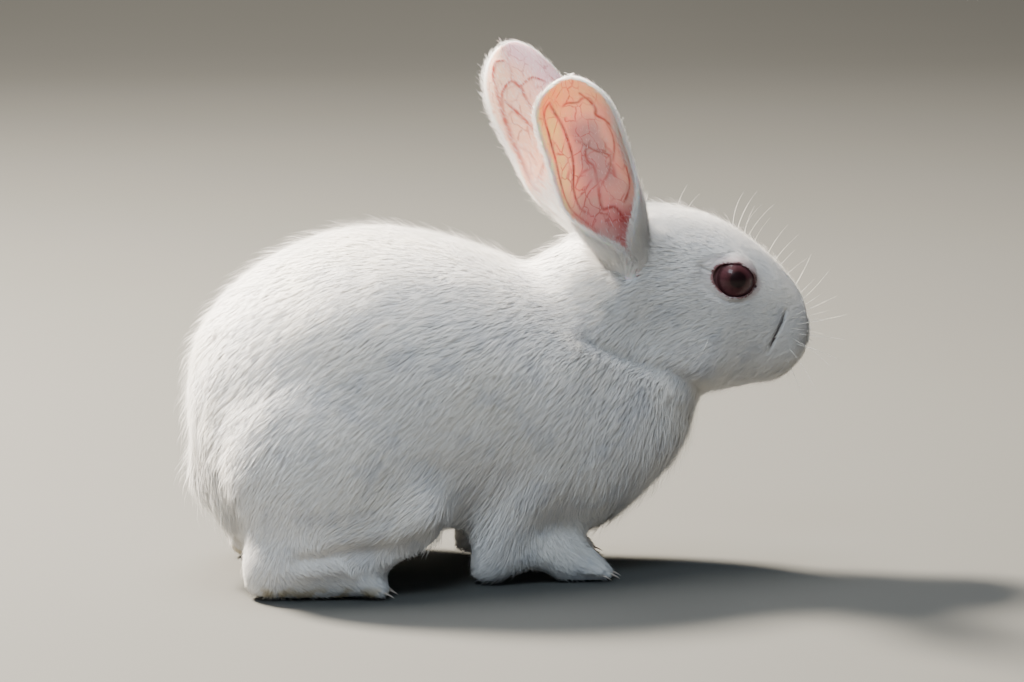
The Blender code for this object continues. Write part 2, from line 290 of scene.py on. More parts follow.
# %% [markdown]
# ## Mesh helpers
#
# Sculpting by code means reading all the points of a mesh at once, moving them with plain
# formulas, and writing them back. These helpers do that with numpy. The most useful one is the
# neighbours' mean: blended into a mesh's places it smooths the shape, and blended into any value
# kept at the vertices it lets that value fade softly from one region to the next.

# %% Reading, writing and smoothing a mesh


def read(items, name, width=3, kind=np.float32):
    found = np.empty(len(items) * width, kind)
    items.foreach_get(name, found)
    return found.reshape(-1, width).astype(np.float64 if kind == np.float32 else kind)


def points_of(mesh):
    return read(mesh.vertices, "co")


def edges_of(mesh):
    return read(mesh.edges, "vertices", 2, np.int32)


def first_corners(mesh):
    """One vertex of each face, which stands for the face."""
    first = read(mesh.polygons, "loop_start", 1, np.int32).ravel()
    return read(mesh.loops, "vertex_index", 1, np.int32).ravel()[first]


def move_points(mesh, places):
    mesh.vertices.foreach_set("co", places.astype(np.float32).ravel())
    mesh.update()


def keep_values(mesh, **values_by_name):
    """Stores numbers or vectors at the vertices, each under its name."""
    for name, values in values_by_name.items():
        kind, key = ("FLOAT_VECTOR", "vector") if values.ndim == 2 else ("FLOAT", "value")
        kept = mesh.attributes.get(name) or mesh.attributes.new(name, kind, "POINT")
        kept.data.foreach_set(key, values.astype(np.float32).ravel())


def kept_value(mesh, name):
    """The numbers or vectors stored under this name."""
    kept = mesh.attributes[name]
    if kept.data_type == "FLOAT_VECTOR":
        return read(kept.data, "vector")
    return read(kept.data, "value", 1).ravel()

# %% Smoothing, and plain formulas
def smoothed(values, edges, rounds, share=0.5):
    """Values at the vertices blended with their neighbours' mean. A share may differ by vertex."""
    values = np.array(values, float)
    flat = values.reshape(len(values), -1)
    count = np.bincount(edges.ravel(), minlength=len(flat)).clip(1)
    share = np.broadcast_to(np.asarray(share, float), len(flat))[:, None]
    for _ in range(rounds):
        mean = np.empty_like(flat)
        for k in range(flat.shape[1]):
            one = np.bincount(edges[:, 0], flat[edges[:, 1], k], len(flat))
            mean[:, k] = (one + np.bincount(edges[:, 1], flat[edges[:, 0], k], len(flat))) / count
        flat = flat + share * (mean - flat)
    return flat.reshape(values.shape)


def unit(vectors):
    return vectors / np.linalg.norm(vectors, axis=-1, keepdims=True).clip(1e-12)


def bump(distance, reach):
    """1 at no distance, falling smoothly to 0 at reach."""
    near = np.clip(1 - np.abs(distance) / reach, 0, 1)
    return near * near * (3 - 2 * near)


def curve_through(points, steps=6):
    """A smooth line through points, on a Catmull-Rom curve."""
    rows = np.array([points[0], *points, points[-1]], float)
    found = []
    for a, b, c, d in zip(rows, rows[1:], rows[2:], rows[3:]):
        for k in range(steps):
            t = k / steps
            square, cube = (2 * a - 5 * b + 4 * c - d) * t**2, (3 * b - a - 3 * c + d) * t**3
            found.append(0.5 * (2 * b + (c - a) * t + square + cube))
    return np.array([*found, rows[-1]])


def from_segment(places, start, end):
    """How far each place is from a straight line between two ends."""
    along = end - start
    share = np.clip((places - start) @ along / max(along @ along, 1e-12), 0, 1)
    return np.linalg.norm(places - start - share[:, None] * along, axis=1)


def distance_to(places, path, weigh=(1, 1, 1)):
    """How far each place is from a path. Weigh counts some directions less than others."""
    places, path = places * weigh, np.asarray(path) * weigh
    nearest = np.full(len(places), np.inf)
    for start, end in zip(path, path[1:]):
        nearest = np.minimum(nearest, from_segment(places, start, end))
    return nearest

# %% Plain meshes, and handing a piece over
def plain_copy(helper, name):
    """A plain mesh of what an object's modifiers make of it. The object itself is removed."""
    bpy.context.view_layer.update()
    made = bpy.data.meshes.new_from_object(helper.evaluated_get(bpy.context.evaluated_depsgraph_get()))
    bpy.data.objects.remove(helper)
    made.name = name
    return made


def remeshed(name, source, voxel):
    """The outside of a mesh, built anew from even faces of this size."""
    helper = new_object(name, source)
    remesh = helper.modifiers.new("remesh", "REMESH")
    remesh.mode = "VOXEL"
    remesh.voxel_size = voxel
    return plain_copy(helper, name)


def finished_piece(piece, slot, *nodes):
    """Hands a piece to the frame: what it rides on and the nodes that it stands for. Its finish slot is not
    used.
    """
    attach(piece, "root")
    if nodes:
        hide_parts(*nodes)

# %% [markdown]
# ## One skin
#
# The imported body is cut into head, neck, trunk, tail and limbs by hair-thin gaps. A real skin has
# no such seams. Copies of the solids are swollen a little until they overlap and are welded with a
# voxel remesh, which keeps only the outside. The eye sockets are filled for now, and a root is
# added for each ear. Then the surface is relaxed, and sinks inwards by the depth of the coat, so
# that the tips of the fur come back out to the body's true outline.

# %% Weld the solids and relax them
FLESH = [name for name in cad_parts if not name.startswith(("eye_", "ear_"))]
SWELL = 0.35 * MM
VOXEL = 1.3 * MM
EYE_CENTRES = {side: sum(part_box("eye_" + side), Vector()) / 2 for side in SIDES}
EYE_RADIUS = (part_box("eye_right")[1].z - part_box("eye_right")[0].z) / 2
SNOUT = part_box("head")[1].x
EAR_BASES = {"right": Vector((42.5, -8.5, 110)) * MM, "left": Vector((44, 8.5, 109.5)) * MM}
EAR_TIPS = {"right": Vector((19.6, -27, 177.6)) * MM, "left": Vector((5.6, 26, 183.2)) * MM}
# An ear's root is a few balls welded to the head. Its middle lies outwards from the ear's base,
# turned by the first two numbers, at the third. Some balls follow the ear's line (share of its
# length, radius), and some fill the slope before it (ahead, out, up, radius). Lengths are in mm.
ROOT_AHEAD, ROOT_DOWN, ROOT_OUT = 0.14, -0.26, 7.3
ROOT_BALLS = ((-0.08, 11.5), (-0.02, 10.4), (0.03, 9.0))
SLOPE_BALLS = ((9, 5, 6.5, 9.6), (5, 5, 11.5, 7.3))


def add_ball(bm, centre, radius):
    matrix = Matrix.Translation(centre) @ Matrix.Diagonal((radius, radius, radius, 1))
    bmesh.ops.create_icosphere(bm, subdivisions=4, radius=1, matrix=matrix)


def welded_flesh():
    """The swollen solids, the eyes' sockets filled and the ears' roots, as one closed mesh."""
    whole = bmesh.new()
    for name in FLESH:
        bm = bmesh.new()
        bm.from_mesh(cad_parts[name].data)
        bmesh.ops.remove_doubles(bm, verts=bm.verts, dist=0.001 * MM)
        bm.normal_update()
        for vertex in bm.verts:
            vertex.co += vertex.normal * SWELL
        mesh = mesh_of(bm, name + "_swollen")
        whole.from_mesh(mesh)
        bpy.data.meshes.remove(mesh)
    for side, way in SIDES.items():
        add_ball(whole, EYE_CENTRES[side], EYE_RADIUS + SWELL)
        root = EAR_BASES[side] + Vector((ROOT_AHEAD, way, ROOT_DOWN)).normalized() * ROOT_OUT * MM
        for share, radius in ROOT_BALLS:
            add_ball(whole, root + (EAR_TIPS[side] - EAR_BASES[side]) * share, radius * MM)
        for ahead, out, high, radius in SLOPE_BALLS:
            add_ball(whole, EAR_BASES[side] + Vector((ahead, out * way, high)) * MM, radius * MM)
    return remeshed("flesh_welded", mesh_of(whole, "flesh"), VOXEL)


def relaxed_flesh():
    """The welded flesh smoothed, less at the face and least at the feet, which it would melt away."""
    mesh = welded_flesh()
    places = points_of(mesh)
    feet = bump(places[:, 2], 24 * MM)
    head = bump(places[:, 0] - SNOUT, 60 * MM)
    heel = bump(places[:, 0] - CAD_LOW.x - 8 * MM, 26 * MM)
    share = 0.62 - 0.4 * feet * (1 - heel) - 0.28 * head * (1 - feet)
    move_points(mesh, smoothed(places, edges_of(mesh), 30, share))
    return mesh


flesh = relaxed_flesh()
print("welded flesh:", len(flesh.polygons), "faces")

# %% [markdown]
# ## How the coat lies
#
# Fur grows in streams: back from the nose, round the eyes, along the spine, down the flanks and
# forward over the feet. A groomer's chart of those streams is just a list of places, each with the
# way the hair points, its length and how far it stands off the skin. Between the named places
# every value is blended by nearness, so about fifty entries cover the whole animal. A place is
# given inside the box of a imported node: along from rear to front, out from the middle to the side,
# and up. One side is enough, because the other is its mirror image.

# %% The chart of the coat
# Coat piece and node, then for each place there: its name, its place in the node's box, the way
# the hair lies (forward, out, up), its length in mm, and how much of it stands off the skin.
COAT_GROUPS = [
    ("head", "head", [
        ("nose tip", (0.99, 0, 0.49), (-0.3, 0.3, 0.9), 1.4, 0.3),
        ("nose bridge", (0.85, 0, 0.74), (-0.85, 0, 0.5), 2.8, 0.32),
        ("whisker pad", (0.91, 0.41, 0.44), (-0.8, 0.3, -0.3), 2.4, 0.32),
        ("upper lip", (0.91, 0.33, 0.34), (-0.6, 0.2, -0.75), 2.8, 0.32),
        ("chin", (0.84, 0, 0.22), (-0.9, 0, -0.35), 3.2, 0.3),
        ("forehead", (0.68, 0, 0.89), (-1, 0, 0.3), 4.2, 0.32),
        ("crown", (0.42, 0, 1), (-1, 0, 0.05), 5.2, 0.32),
        ("above eye", (0.63, 0.62, 0.81), (-1, 0.1, 0.2), 3, 0.2),
        ("before eye", (0.79, 0.54, 0.66), (-0.75, 0.3, 0.3), 2.6, 0.2),
        ("below eye", (0.63, 0.82, 0.56), (-0.95, 0.1, -0.2), 3.4, 0.22),
        ("behind eye", (0.49, 0.82, 0.69), (-1, 0, -0.05), 4.6, 0.24),
        ("cheek", (0.49, 0.91, 0.49), (-0.9, 0.1, -0.35), 6, 0.28),
        ("jaw", (0.61, 0.58, 0.27), (-0.85, 0, -0.5), 5.5, 0.3),
        ("throat", (0.42, 0, 0.17), (-0.7, 0, -0.7), 7, 0.32),
        ("ear root", (0.28, 0.49, 0.97), (-0.8, 0, 0.5), 4.5, 0.25),
    ]),
    ("neck", "neck", [
        ("nape", (0.32, 0, 0.99), (-1, 0, -0.25), 8, 0.3),
        ("neck side", (0.46, 0.85, 0.72), (-0.85, 0, -0.5), 6.5, 0.3),
        ("jowl", (0.63, 0.82, 0.5), (-0.75, 0, -0.65), 7, 0.32),
        ("chest front", (0.9, 0, 0.19), (-0.3, 0, -0.95), 9, 0.36),
        ("chest side", (0.73, 0.67, 0.25), (-0.5, 0, -0.85), 8.5, 0.34),
    ]),
    ("neck", "trunk", [
        ("breast", (0.91, 0, 0.16), (-0.7, 0, -0.7), 8, 0.34),
    ]),
    ("flank", "foreleg_left", [
        ("shoulder", (0.54, 0.87, 0.76), (-0.75, 0, -0.6), 6.2, 0.21),
        ("shoulder point", (0.84, 0.71, 0.49), (-0.6, 0, -0.75), 6.5, 0.3),
    ]),
    ("back", "trunk", [
        ("withers", (0.66, 0, 0.91), (-1, 0, -0.05), 7.5, 0.32),
        ("saddle", (0.41, 0, 1), (-1, 0, 0), 8, 0.34),
        ("croup", (0.14, 0, 0.87), (-0.9, 0, -0.45), 8, 0.36),
    ]),
    ("rump", "trunk", [
        ("rump rear", (0.01, 0, 0.58), (-0.25, 0, -1), 8, 0.38),
        ("rump side", (0.1, 0.69, 0.5), (-0.6, 0.05, -0.8), 7.5, 0.34),
    ]),
    ("flank", "trunk", [
        ("upper flank", (0.54, 0.81, 0.8), (-0.95, 0.1, -0.3), 6.6, 0.2),
        ("flank", (0.57, 0.99, 0.5), (-0.8, 0.1, -0.6), 6.6, 0.2),
    ]),
    ("leg", "trunk", [
        ("lower flank", (0.59, 0.86, 0.2), (-0.6, -0.2, -0.75), 7.5, 0.34),
    ]),
    ("flank", "hindleg_left", [
        ("hip", (0.48, 0.89, 0.89), (-0.85, 0.1, -0.5), 6.8, 0.21),
        ("thigh", (0.48, 1, 0.46), (-0.7, 0, -0.7), 6.4, 0.22),
    ]),
    ("leg", "hindleg_left", [
        ("knee", (0.88, 0.86, 0.3), (-0.85, -0.2, -0.5), 7, 0.3),
        ("thigh edge", (0.55, 0.95, 0.13), (-0.92, -0.1, -0.35), 5, 0.26),
        ("hock", (0.1, 0.83, 0.12), (-0.6, 0.1, -0.75), 4.5, 0.26),
    ]),
    ("leg", "trunk", [
        ("belly", (0.54, 0, 0.06), (-1, 0, -0.1), 7, 0.32),
    ]),
    ("leg", "foreleg_left", [
        ("upper arm", (0.34, 0.59, 0.2), (-0.35, 0.1, -0.9), 6, 0.28),
    ]),
    ("leg", "forefoot_left", [
        ("forearm", (0.5, 0.5, 0.97), (0.5, 0, -0.85), 3, 0.24),
        ("elbow", (0.04, 0.6, 0.65), (-0.7, 0, -0.5), 3.6, 0.25),
        ("paw", (0.88, 0.43, 0.65), (0.9, 0, -0.4), 1.7, 0.2),
    ]),
    ("leg", "hindfoot_left", [
        ("heel", (0.04, 0.45, 0.49), (-0.5, 0, -0.8), 2.8, 0.22),
        ("hind foot", (0.58, 0.52, 0.9), (0.95, 0, -0.1), 2.8, 0.24),
        ("hind foot side", (0.4, 1, 0.4), (0.8, 0.1, -0.55), 2.4, 0.22),
        ("hind toes", (0.94, 0.56, 0.43), (0.85, 0, -0.5), 1.7, 0.2),
    ]),
    ("rump", "tail", [
        ("tail", (0.09, 0, 0.55), (-0.35, 0, -0.95), 9, 0.36),
        ("tail side", (0.47, 0.83, 0.47), (-0.3, 0.7, -0.65), 8.5, 0.36),
    ]),
]
Entry = namedtuple("Entry", "piece node name place lie length stand")
COAT_CHART = [Entry(piece, node, *row) for piece, node, rows in COAT_GROUPS for row in rows]
EAR_FUR_REACH = 15 * MM  # how far from an ear's midline the head's fur climbs it


def spot(node, along, out, up):
    """A place in a node's box. Out runs from the middle, or from the inner side of a left limb."""
    low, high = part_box(node)
    inner = max(low.y, 0)
    x = low.x + along * (high.x - low.x)
    return np.array((x, inner + out * (high.y - inner), low.z + up * (high.z - low.z)))


def spots(node, places):
    return [spot(node, *place) for place in places]


def chart_weights(places):
    """How much each entry of the chart counts at each place, by nearness, as rows that add up to 1."""
    folded = places * (1, 0, 1) + np.abs(places) * (0, 1, 0)
    charted = np.array([spot(entry.node, *entry.place) for entry in COAT_CHART])
    far = ((folded[:, None, :] - charted[None]) ** 2).sum(2)
    weights = 1 / (far + (1.5 * MM) ** 2) ** 1.6
    return weights / weights.sum(1, keepdims=True)


def coat_at(places, edges):
    """The way the hair lies, its length in metres and its stand, at every vertex."""
    weights = chart_weights(places)
    lie = weights @ unit(np.array([entry.lie for entry in COAT_CHART], float))
    length = weights @ np.array([entry.length for entry in COAT_CHART]) * MM
    stand = weights @ np.array([entry.stand for entry in COAT_CHART])
    lie[:, 1] *= np.sign(places[:, 1])
    for side in SIDES:
        base, tip = np.array(EAR_BASES[side]), np.array(EAR_TIPS[side])
        near = bump(distance_to(places, [base, base + 0.3 * (tip - base)]), EAR_FUR_REACH)[:, None]
        lie = lie * (1 - near) + unit(tip - base) * near
    lie = smoothed(lie, edges, 8)
    return unit(lie), smoothed(length, edges, 4), smoothed(stand, edges, 4)


print("places on the chart:", len(COAT_CHART))

# %% Sink the skin by the coat's depth
def sunk_skin():
    """The skin under the coat: the flesh sunk by the coat's depth, remeshed and relaxed once more."""
    places = points_of(flesh)
    edges = edges_of(flesh)
    normals = smoothed(read(flesh.vertices, "normal"), edges, 4)
    _, length, stand = coat_at(places, edges)
    depth = length * stand + 0.2 * MM
    move_points(flesh, places - unit(normals) * depth[:, None])
    mesh = remeshed("skin", flesh, VOXEL)
    places = points_of(mesh)
    feet = bump(places[:, 2], 20 * MM)
    places = smoothed(places, edges_of(mesh), 6, 0.5 - 0.35 * feet)
    places[:, 2] = np.maximum(places[:, 2], 0.4 * MM)
    move_points(mesh, places)
    return mesh


skin_mesh = sunk_skin()
print("sunk skin:", len(skin_mesh.polygons), "faces")

# %% [markdown]
# ## Features of the face and the feet
#
# The skin is dense enough for soft forms but not for a lid or a nostril. Its faces are split once
# over the snout, round the eyes and between the toes, and once more where a margin or a slit runs.
# After that the features are sculpted by formula. Each slit, crease and fold is a smooth path with
# a width and a depth, and the skin sinks along it.

# %% Paths of the folds
# Where a line is seen from, its width and depth in mm, how much painted shade darkens it, how far
# its ends fade in mm, and its places in the head's box
Line = namedtuple("Line", "seen_from width depth dark fade places")
FACE_LINES = {
    "whisker_pad_crease": Line("side", 1.4, 1.6, 1.0, 3.0, (
        (0.872, 0.5, 0.535), (0.855, 0.5, 0.49), (0.825, 0.5, 0.43), (0.8, 0.5, 0.37))),
    "mouth": Line("front", 1.3, 1.1, 0.8, 0.5, (
        (1, 0, 0.4), (1, 0.08, 0.383), (1, 0.18, 0.357), (1, 0.29, 0.32))),
    "lip_split": Line("front", 0.9, 1.2, 0.9, 0.5, ((1, 0, 0.484), (1, 0, 0.45), (1, 0, 0.4))),
    "lip_hollow": Line("front", 4.5, 0.9, 0.0, 0.5, ((1, 0, 0.47), (1, 0, 0.4))),
    "nostril": Line("front", 1.3, 1.4, 0.75, 0.7, (
        (1, 0.03, 0.482), (1, 0.08, 0.488), (1, 0.135, 0.505), (1, 0.165, 0.53), (1, 0.15, 0.548))),
}
SEEN_FROM = {"front": (0.1, 1, 1), "side": (1, 0.1, 1)}
NOSE_TIP = spot("head", 1.0, 0, 0.51)
FACE_PATHS = {name: curve_through(spots("head", line.places)) for name, line in FACE_LINES.items()}
JOWL_PLACES = ((0.32, 0.85, 0.62), (0.62, 0.8, 0.53), (0.89, 0.64, 0.45), (1.14, 0.36, 0.32))
THIGH_PLACES = ((0.3, 0.97, 0.05), (0.55, 0.97, 0.08), (0.75, 0.93, 0.1), (0.92, 0.8, 0.17))
JOWL_FOLD = curve_through(spots("neck", JOWL_PLACES))
THIGH_EDGE = curve_through(spots("hindleg_left", THIGH_PLACES))


def folded_to_left(places):
    return np.column_stack((places[:, 0], np.abs(places[:, 1]), places[:, 2]))


def line_distance(places, name):
    seen_from = SEEN_FROM[FACE_LINES[name].seen_from]
    return distance_to(folded_to_left(places), FACE_PATHS[name], seen_from)


def line_strength(places, name):
    """1 along the line, less towards its two ends."""
    folded, path, fade = folded_to_left(places), FACE_PATHS[name], FACE_LINES[name].fade * MM
    ends = [bump(np.linalg.norm(folded - path[end], axis=1), fade) for end in (0, -1)]
    return 1 - 0.8 * np.maximum(*ends)


print("folds:", ", ".join(FACE_LINES))

# %% Finer faces for them
EYE_DROOP = math.radians(20)  # the front corner of the eye sits lower than the rear one
SNOUT_REACH, SLIT_REACH = 23 * MM, 2.2 * MM
TOE_GAPS = (0.29, 0.5, 0.71)  # where the toes part, across each foot
TOE_GAP_LENGTH = 0.4  # as a share of the foot's length


def eye_frame(side):
    """The eye's centre and its long, short and outward directions."""
    long = np.array((math.cos(EYE_DROOP), 0, -math.sin(EYE_DROOP)))
    short = np.array((math.sin(EYE_DROOP), 0, math.cos(EYE_DROOP)))
    return np.array(EYE_CENTRES[side]), long, short, np.array((0, SIDES[side], 0))


def split_faces(mesh, wanted):
    """Splits the faces whose middles are wanted into four."""
    bm = bmesh.new()
    bm.from_mesh(mesh)
    middles = np.array([face.calc_center_median() for face in bm.faces])
    bm.faces.ensure_lookup_table()
    edges = {edge for i in np.flatnonzero(wanted(middles)) for edge in bm.faces[i].edges}
    bmesh.ops.subdivide_edges(bm, edges=list(edges), cuts=1, use_grid_fill=True)
    bmesh.ops.triangulate(bm, faces=[face for face in bm.faces if len(face.verts) > 4])
    bm.to_mesh(mesh)
    bm.free()


def near_eye(places, reach):
    near = np.zeros(len(places), bool)
    for side, way in SIDES.items():
        centre = np.array(EYE_CENTRES[side]) + (0, way * EYE_RADIUS * 0.8, 0)
        near |= np.linalg.norm(places - centre, axis=1) < reach
    return near


def near_snout(places):
    return near_eye(places, 14 * MM) | (places[:, 0] > SNOUT - SNOUT_REACH)


def near_slits(places):
    slits = np.min([line_distance(places, name) for name in FACE_LINES], axis=0) < SLIT_REACH
    return near_eye(places, 10.5 * MM) | (slits & (places[:, 0] > SNOUT - SNOUT_REACH))


def toe_gap_depth(places, reach):
    """1 in a gap between two toes, falling to 0 at this reach from it."""
    depth = np.zeros(len(places))
    for foot in ("forefoot_left", "hindfoot_left"):
        low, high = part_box(foot)
        forward = np.clip((places[:, 0] - high.x) / (high.x - low.x) / TOE_GAP_LENGTH + 1, 0, 1)
        forward = forward * (places[:, 0] < high.x + 3 * MM) * (places[:, 2] < high.z)
        for gap in TOE_GAPS:
            line = low.y + gap * (high.y - low.y)
            depth = np.maximum(depth, forward * bump(np.abs(places[:, 1]) - line, reach))
    return depth


def near_toes(places):
    return toe_gap_depth(places, SLIT_REACH) > 0.1


def relax_where(mesh, wanted, rounds):
    places = points_of(mesh)
    move_points(mesh, smoothed(places, edges_of(mesh), rounds, 0.5 * wanted(places)))


split_faces(skin_mesh, lambda places: near_snout(places) | near_toes(places))
relax_where(skin_mesh, near_snout, 4)
split_faces(skin_mesh, near_slits)
relax_where(skin_mesh, near_slits, 5)
print("skin with a finer face:", len(skin_mesh.polygons), "faces")

# %% [markdown]
# ## Lids, slits and folds
#
# A rabbit's eye is a large ball that stands well out of the skull, and the lids are a collar of
# thin skin drawn over it. So the skin round the eye follows a sphere a little larger than the ball,
# and inside the almond of the opening it drops behind the ball, which leaves a real lid edge.

# %% The opening of the eye
LID = 0.6 * MM
OPENING_HALF_LENGTH, OPENING_HALF_HEIGHT = 8.0 * MM, 6.1 * MM
ALMOND = (1.45, 2.3)  # a lower first number makes the corners sharper
LID_RIDGE, LID_GROOVE = 0.2 * MM, 0.25 * MM  # a raised rim, and a fine groove round it
FRONT_CORNER, FRONT_CORNER_DEPTH = 8.3 * MM, 0.9 * MM
REAR_CREASE, REAR_CREASE_DEPTH = [(-8.2 * MM, 0, 0), (-12.5 * MM, 0.8 * MM, 0)], 0.6 * MM
BEHIND_BALL, MOST_DROP = 1.3 * MM, 2.2 * MM  # where the skin goes inside the opening
EDGE_AT, EDGE_SQUEEZE = 0.98, 0.35  # points beside the lid's edge are drawn together to make it crisp


def opening_measure(places, side):
    """Below 1 inside the eye's opening, 1 on the lid's edge. Also the places in the eye's own axes."""
    centre, long, short, out = eye_frame(side)
    local = places - centre
    a, b, d = local @ long, local @ short, local @ out
    shape = np.abs(a / OPENING_HALF_LENGTH) ** ALMOND[0] + np.abs(b / OPENING_HALF_HEIGHT) ** ALMOND[1]
    return shape ** (1 / np.mean(ALMOND)), a, b, d


def height_of_ball(radius, a, b):
    return np.sqrt(np.maximum(radius**2 - a**2 - b**2, 0))


def soft_max(first, second, softness):
    return 0.5 * (first + second + np.sqrt((first - second) ** 2 + softness**2))


def open_eye(places, side):
    """Drapes the skin over a ball a lid larger than the eye, and cuts the almond into it."""
    measure, a, b, depth = opening_measure(places, side)
    _, long, short, out = eye_frame(side)
    here = (depth > 0) & (np.hypot(a, b) < 14 * MM)
    draped = soft_max(depth, height_of_ball(EYE_RADIUS + LID, a, b), 0.8 * MM) - 0.2 * MM
    fade = bump(np.hypot(a, b), 13.5 * MM) ** 0.3
    target = depth + (draped - depth) * fade
    target += LID_RIDGE * bump(measure - 1.05, 0.1)
    target -= LID_GROOVE * bump(measure - 1.32, 0.2)
    target -= FRONT_CORNER_DEPTH * bump(np.hypot(a - FRONT_CORNER, b), 1.5 * MM)
    from_crease = distance_to(np.column_stack((a, b, 0 * a)), REAR_CREASE)
    target -= REAR_CREASE_DEPTH * bump(from_crease, 1.2 * MM)
    behind = np.maximum(height_of_ball(EYE_RADIUS - BEHIND_BALL, a, b), target - MOST_DROP)
    drop = np.clip((1.0 - measure) / 0.06, 0, 1)
    target = target + (np.minimum(behind, target) - target) * drop
    beside_edge = np.abs(measure - EDGE_AT) < 0.08
    squeeze = np.where(beside_edge, EDGE_AT + (measure - EDGE_AT) * EDGE_SQUEEZE, measure)
    squeeze = np.where(here, squeeze / measure.clip(0.01), 1)[:, None]
    moved = np.array(EYE_CENTRES[side]) + long * (a[:, None] * squeeze) + short * (b[:, None] * squeeze)
    moved += out * target[:, None]
    return np.where(here[:, None], moved, places)

# %% Sculpt the skin
JOWL_FOLD_DEPTH, JOWL_FOLD_REACH = 2.0 * MM, 7 * MM
THIGH_EDGE_DEPTH, THIGH_EDGE_REACH = 2.6 * MM, 6 * MM
TOE_GAP_DEPTH, TOE_GAP_REACH = 1.1 * MM, 1.4 * MM


def sculpt_skin(mesh):
    places = points_of(mesh)
    normals = unit(smoothed(read(mesh.vertices, "normal"), edges_of(mesh), 3))
    fold = distance_to(folded_to_left(places), JOWL_FOLD, (1, 0.6, 1))
    sink = JOWL_FOLD_DEPTH * bump(fold, JOWL_FOLD_REACH) ** 1.5
    over_foot = distance_to(folded_to_left(places), THIGH_EDGE, (1, 0.3, 1))
    outer_side = np.clip((np.abs(places[:, 1]) - 22 * MM) / (6 * MM), 0, 1)
    sink += THIGH_EDGE_DEPTH * bump(over_foot, THIGH_EDGE_REACH) * outer_side
    for name, line in FACE_LINES.items():
        close = bump(line_distance(places, name), line.width * MM)
        sink += line.depth * MM * close * line_strength(places, name)
    sink += TOE_GAP_DEPTH * toe_gap_depth(places, TOE_GAP_REACH)
    places = places - normals * sink[:, None]
    for side in SIDES:
        places = open_eye(places, side)
    move_points(mesh, places)


sculpt_skin(skin_mesh)
skin = new_object("skin", skin_mesh)
skin_mesh.shade_smooth()
print("skin triangles:", sum(len(face.vertices) - 2 for face in skin_mesh.polygons))

# %% [markdown]
# ## What the skin knows
#
# Every later step asks the skin the same questions: which way does the hair lie here, how long is
# it, how thick does it grow, and is this bare skin? The answers are worked out once and kept as
# attributes at the skin's vertices. The hair shortens towards the lids, the nose and the slits, and
# none grows on the lid's edge, in a nostril or on the ground.

# %% Bare skin, thin fur, and painted shade in slits and under the brows
NOSE_PAD = (9 * MM, 3.4 * MM, 2.6 * MM)
# Painted shade darkens the eye's corners, as it does the slits.
FRONT_DUCT, REAR_DUCT = 8.7 * MM, -8.4 * MM  # the dark corners of the eye, along its length


def on_nose_pad(places):
    return np.clip(1.7 - np.linalg.norm((places - NOSE_TIP) / NOSE_PAD, axis=1), 0, 1)


def closeness_to_bare(places):
    """1 on bare skin, falling to 0 where the coat has its full length."""
    lids = np.zeros(len(places))
    for side in SIDES:
        measure, _, _, out = opening_measure(places, side)
        lids = np.maximum(lids, np.clip((1.4 - measure) / 0.35, 0, 1) * (out > 0))
    return np.maximum(lids, 0.85 * on_nose_pad(places))


def lid_margin(places):
    margin = np.zeros(len(places))
    for side in SIDES:
        measure, _, _, out = opening_measure(places, side)
        margin = np.maximum(margin, np.clip((1.13 - measure) / 0.06, 0, 1) * (out > 0))
    return margin


def thin_fur_and_brow_shade(places):
    """Where pink skin tints the coat, round the eyes and on the nose, and painted brow shade darkens it,
    most above and in front of each eye.
    """
    blush = 0.5 * on_nose_pad(places)
    for side in SIDES:
        measure, a, b, out = opening_measure(places, side)
        # Painted shade under the brow: strongest above the eye and in front of it.
        above = np.clip(0.6 + (0.5 * a + b) / (9 * MM), 0.25, 1)
        blush = np.maximum(blush, bump(measure - 1.05, 0.5) * above * (out > 0))
    return blush


def painted_slit_shade(places):
    # Painted shade in the slits, creases and nostrils, and in the corners of the eyes.
    dark = np.zeros(len(places))
    for name, line in FACE_LINES.items():
        close = bump(line_distance(places, name), 0.8 * line.width * MM)
        dark = np.maximum(dark, line.dark * close * line_strength(places, name))
    for side in SIDES:
        _, a, b, depth = opening_measure(places, side)
        front = bump(np.hypot(a - FRONT_DUCT, b), 1.5 * MM)
        duct = front + 0.5 * bump(np.hypot(a - REAR_DUCT, b), 1.3 * MM)
        dark = np.maximum(dark, np.clip(duct, 0, 1) * (depth > 0))
    return dark

# %% Lie, length, width and number of tufts at each vertex
REGIONS = ("head", "neck", "back", "flank", "rump", "leg")
TUFT_WIDTH, TUFT_WIDENS = 0.14 * MM, 0.018  # a tuft's width, and what it gains with its length


def describe_coat(mesh):
    """Keeps at the skin's vertices all that the coat and the materials need to know."""
    places = points_of(mesh)
    normals = read(mesh.vertices, "normal")
    lie, length, stand = coat_at(places, edges_of(mesh))
    bare, dark = closeness_to_bare(places), painted_slit_shade(places)
    beside_slit = np.max([bump(line_distance(places, name), SLIT_REACH) for name in FACE_LINES], axis=0)
    length = length * (1 - 0.75 * bare) * (1 - 0.6 * beside_slit)
    width = TUFT_WIDTH + TUFT_WIDENS * length
    number = 1 / (length * width).clip((0.4 * MM) ** 2)
    hidden = (normals[:, 2] < -0.45) * (places[:, 0] < SNOUT - 70 * MM)
    underfoot = (places[:, 2] < 1.6 * MM) & (normals[:, 2] < -0.5)
    number = number * (1 - 0.55 * hidden) * (bare < 0.92) * (dark < 0.35) * ~underfoot
    keep_values(mesh, lie=lie, length=length, stand=stand, width=width, number=number)
    keep_values(mesh, bare=bare, dark=dark, lid=lid_margin(places), blush=thin_fur_and_brow_shade(places))


def region_of_faces(mesh):
    """The coat piece that each face belongs to, as an index into REGIONS, and its side of the body."""
    weights = chart_weights(points_of(mesh))
    totals = np.zeros((len(weights), len(REGIONS)))
    for column, entry in enumerate(COAT_CHART):
        totals[:, REGIONS.index(entry.piece)] += weights[:, column]
    corner = first_corners(mesh)
    return totals.argmax(1)[corner], points_of(mesh)[corner, 1] > 0


describe_coat(skin_mesh)
face_region, face_on_left = region_of_faces(skin_mesh)
print("faces by coat piece:", dict(zip(REGIONS, np.bincount(face_region).tolist())))

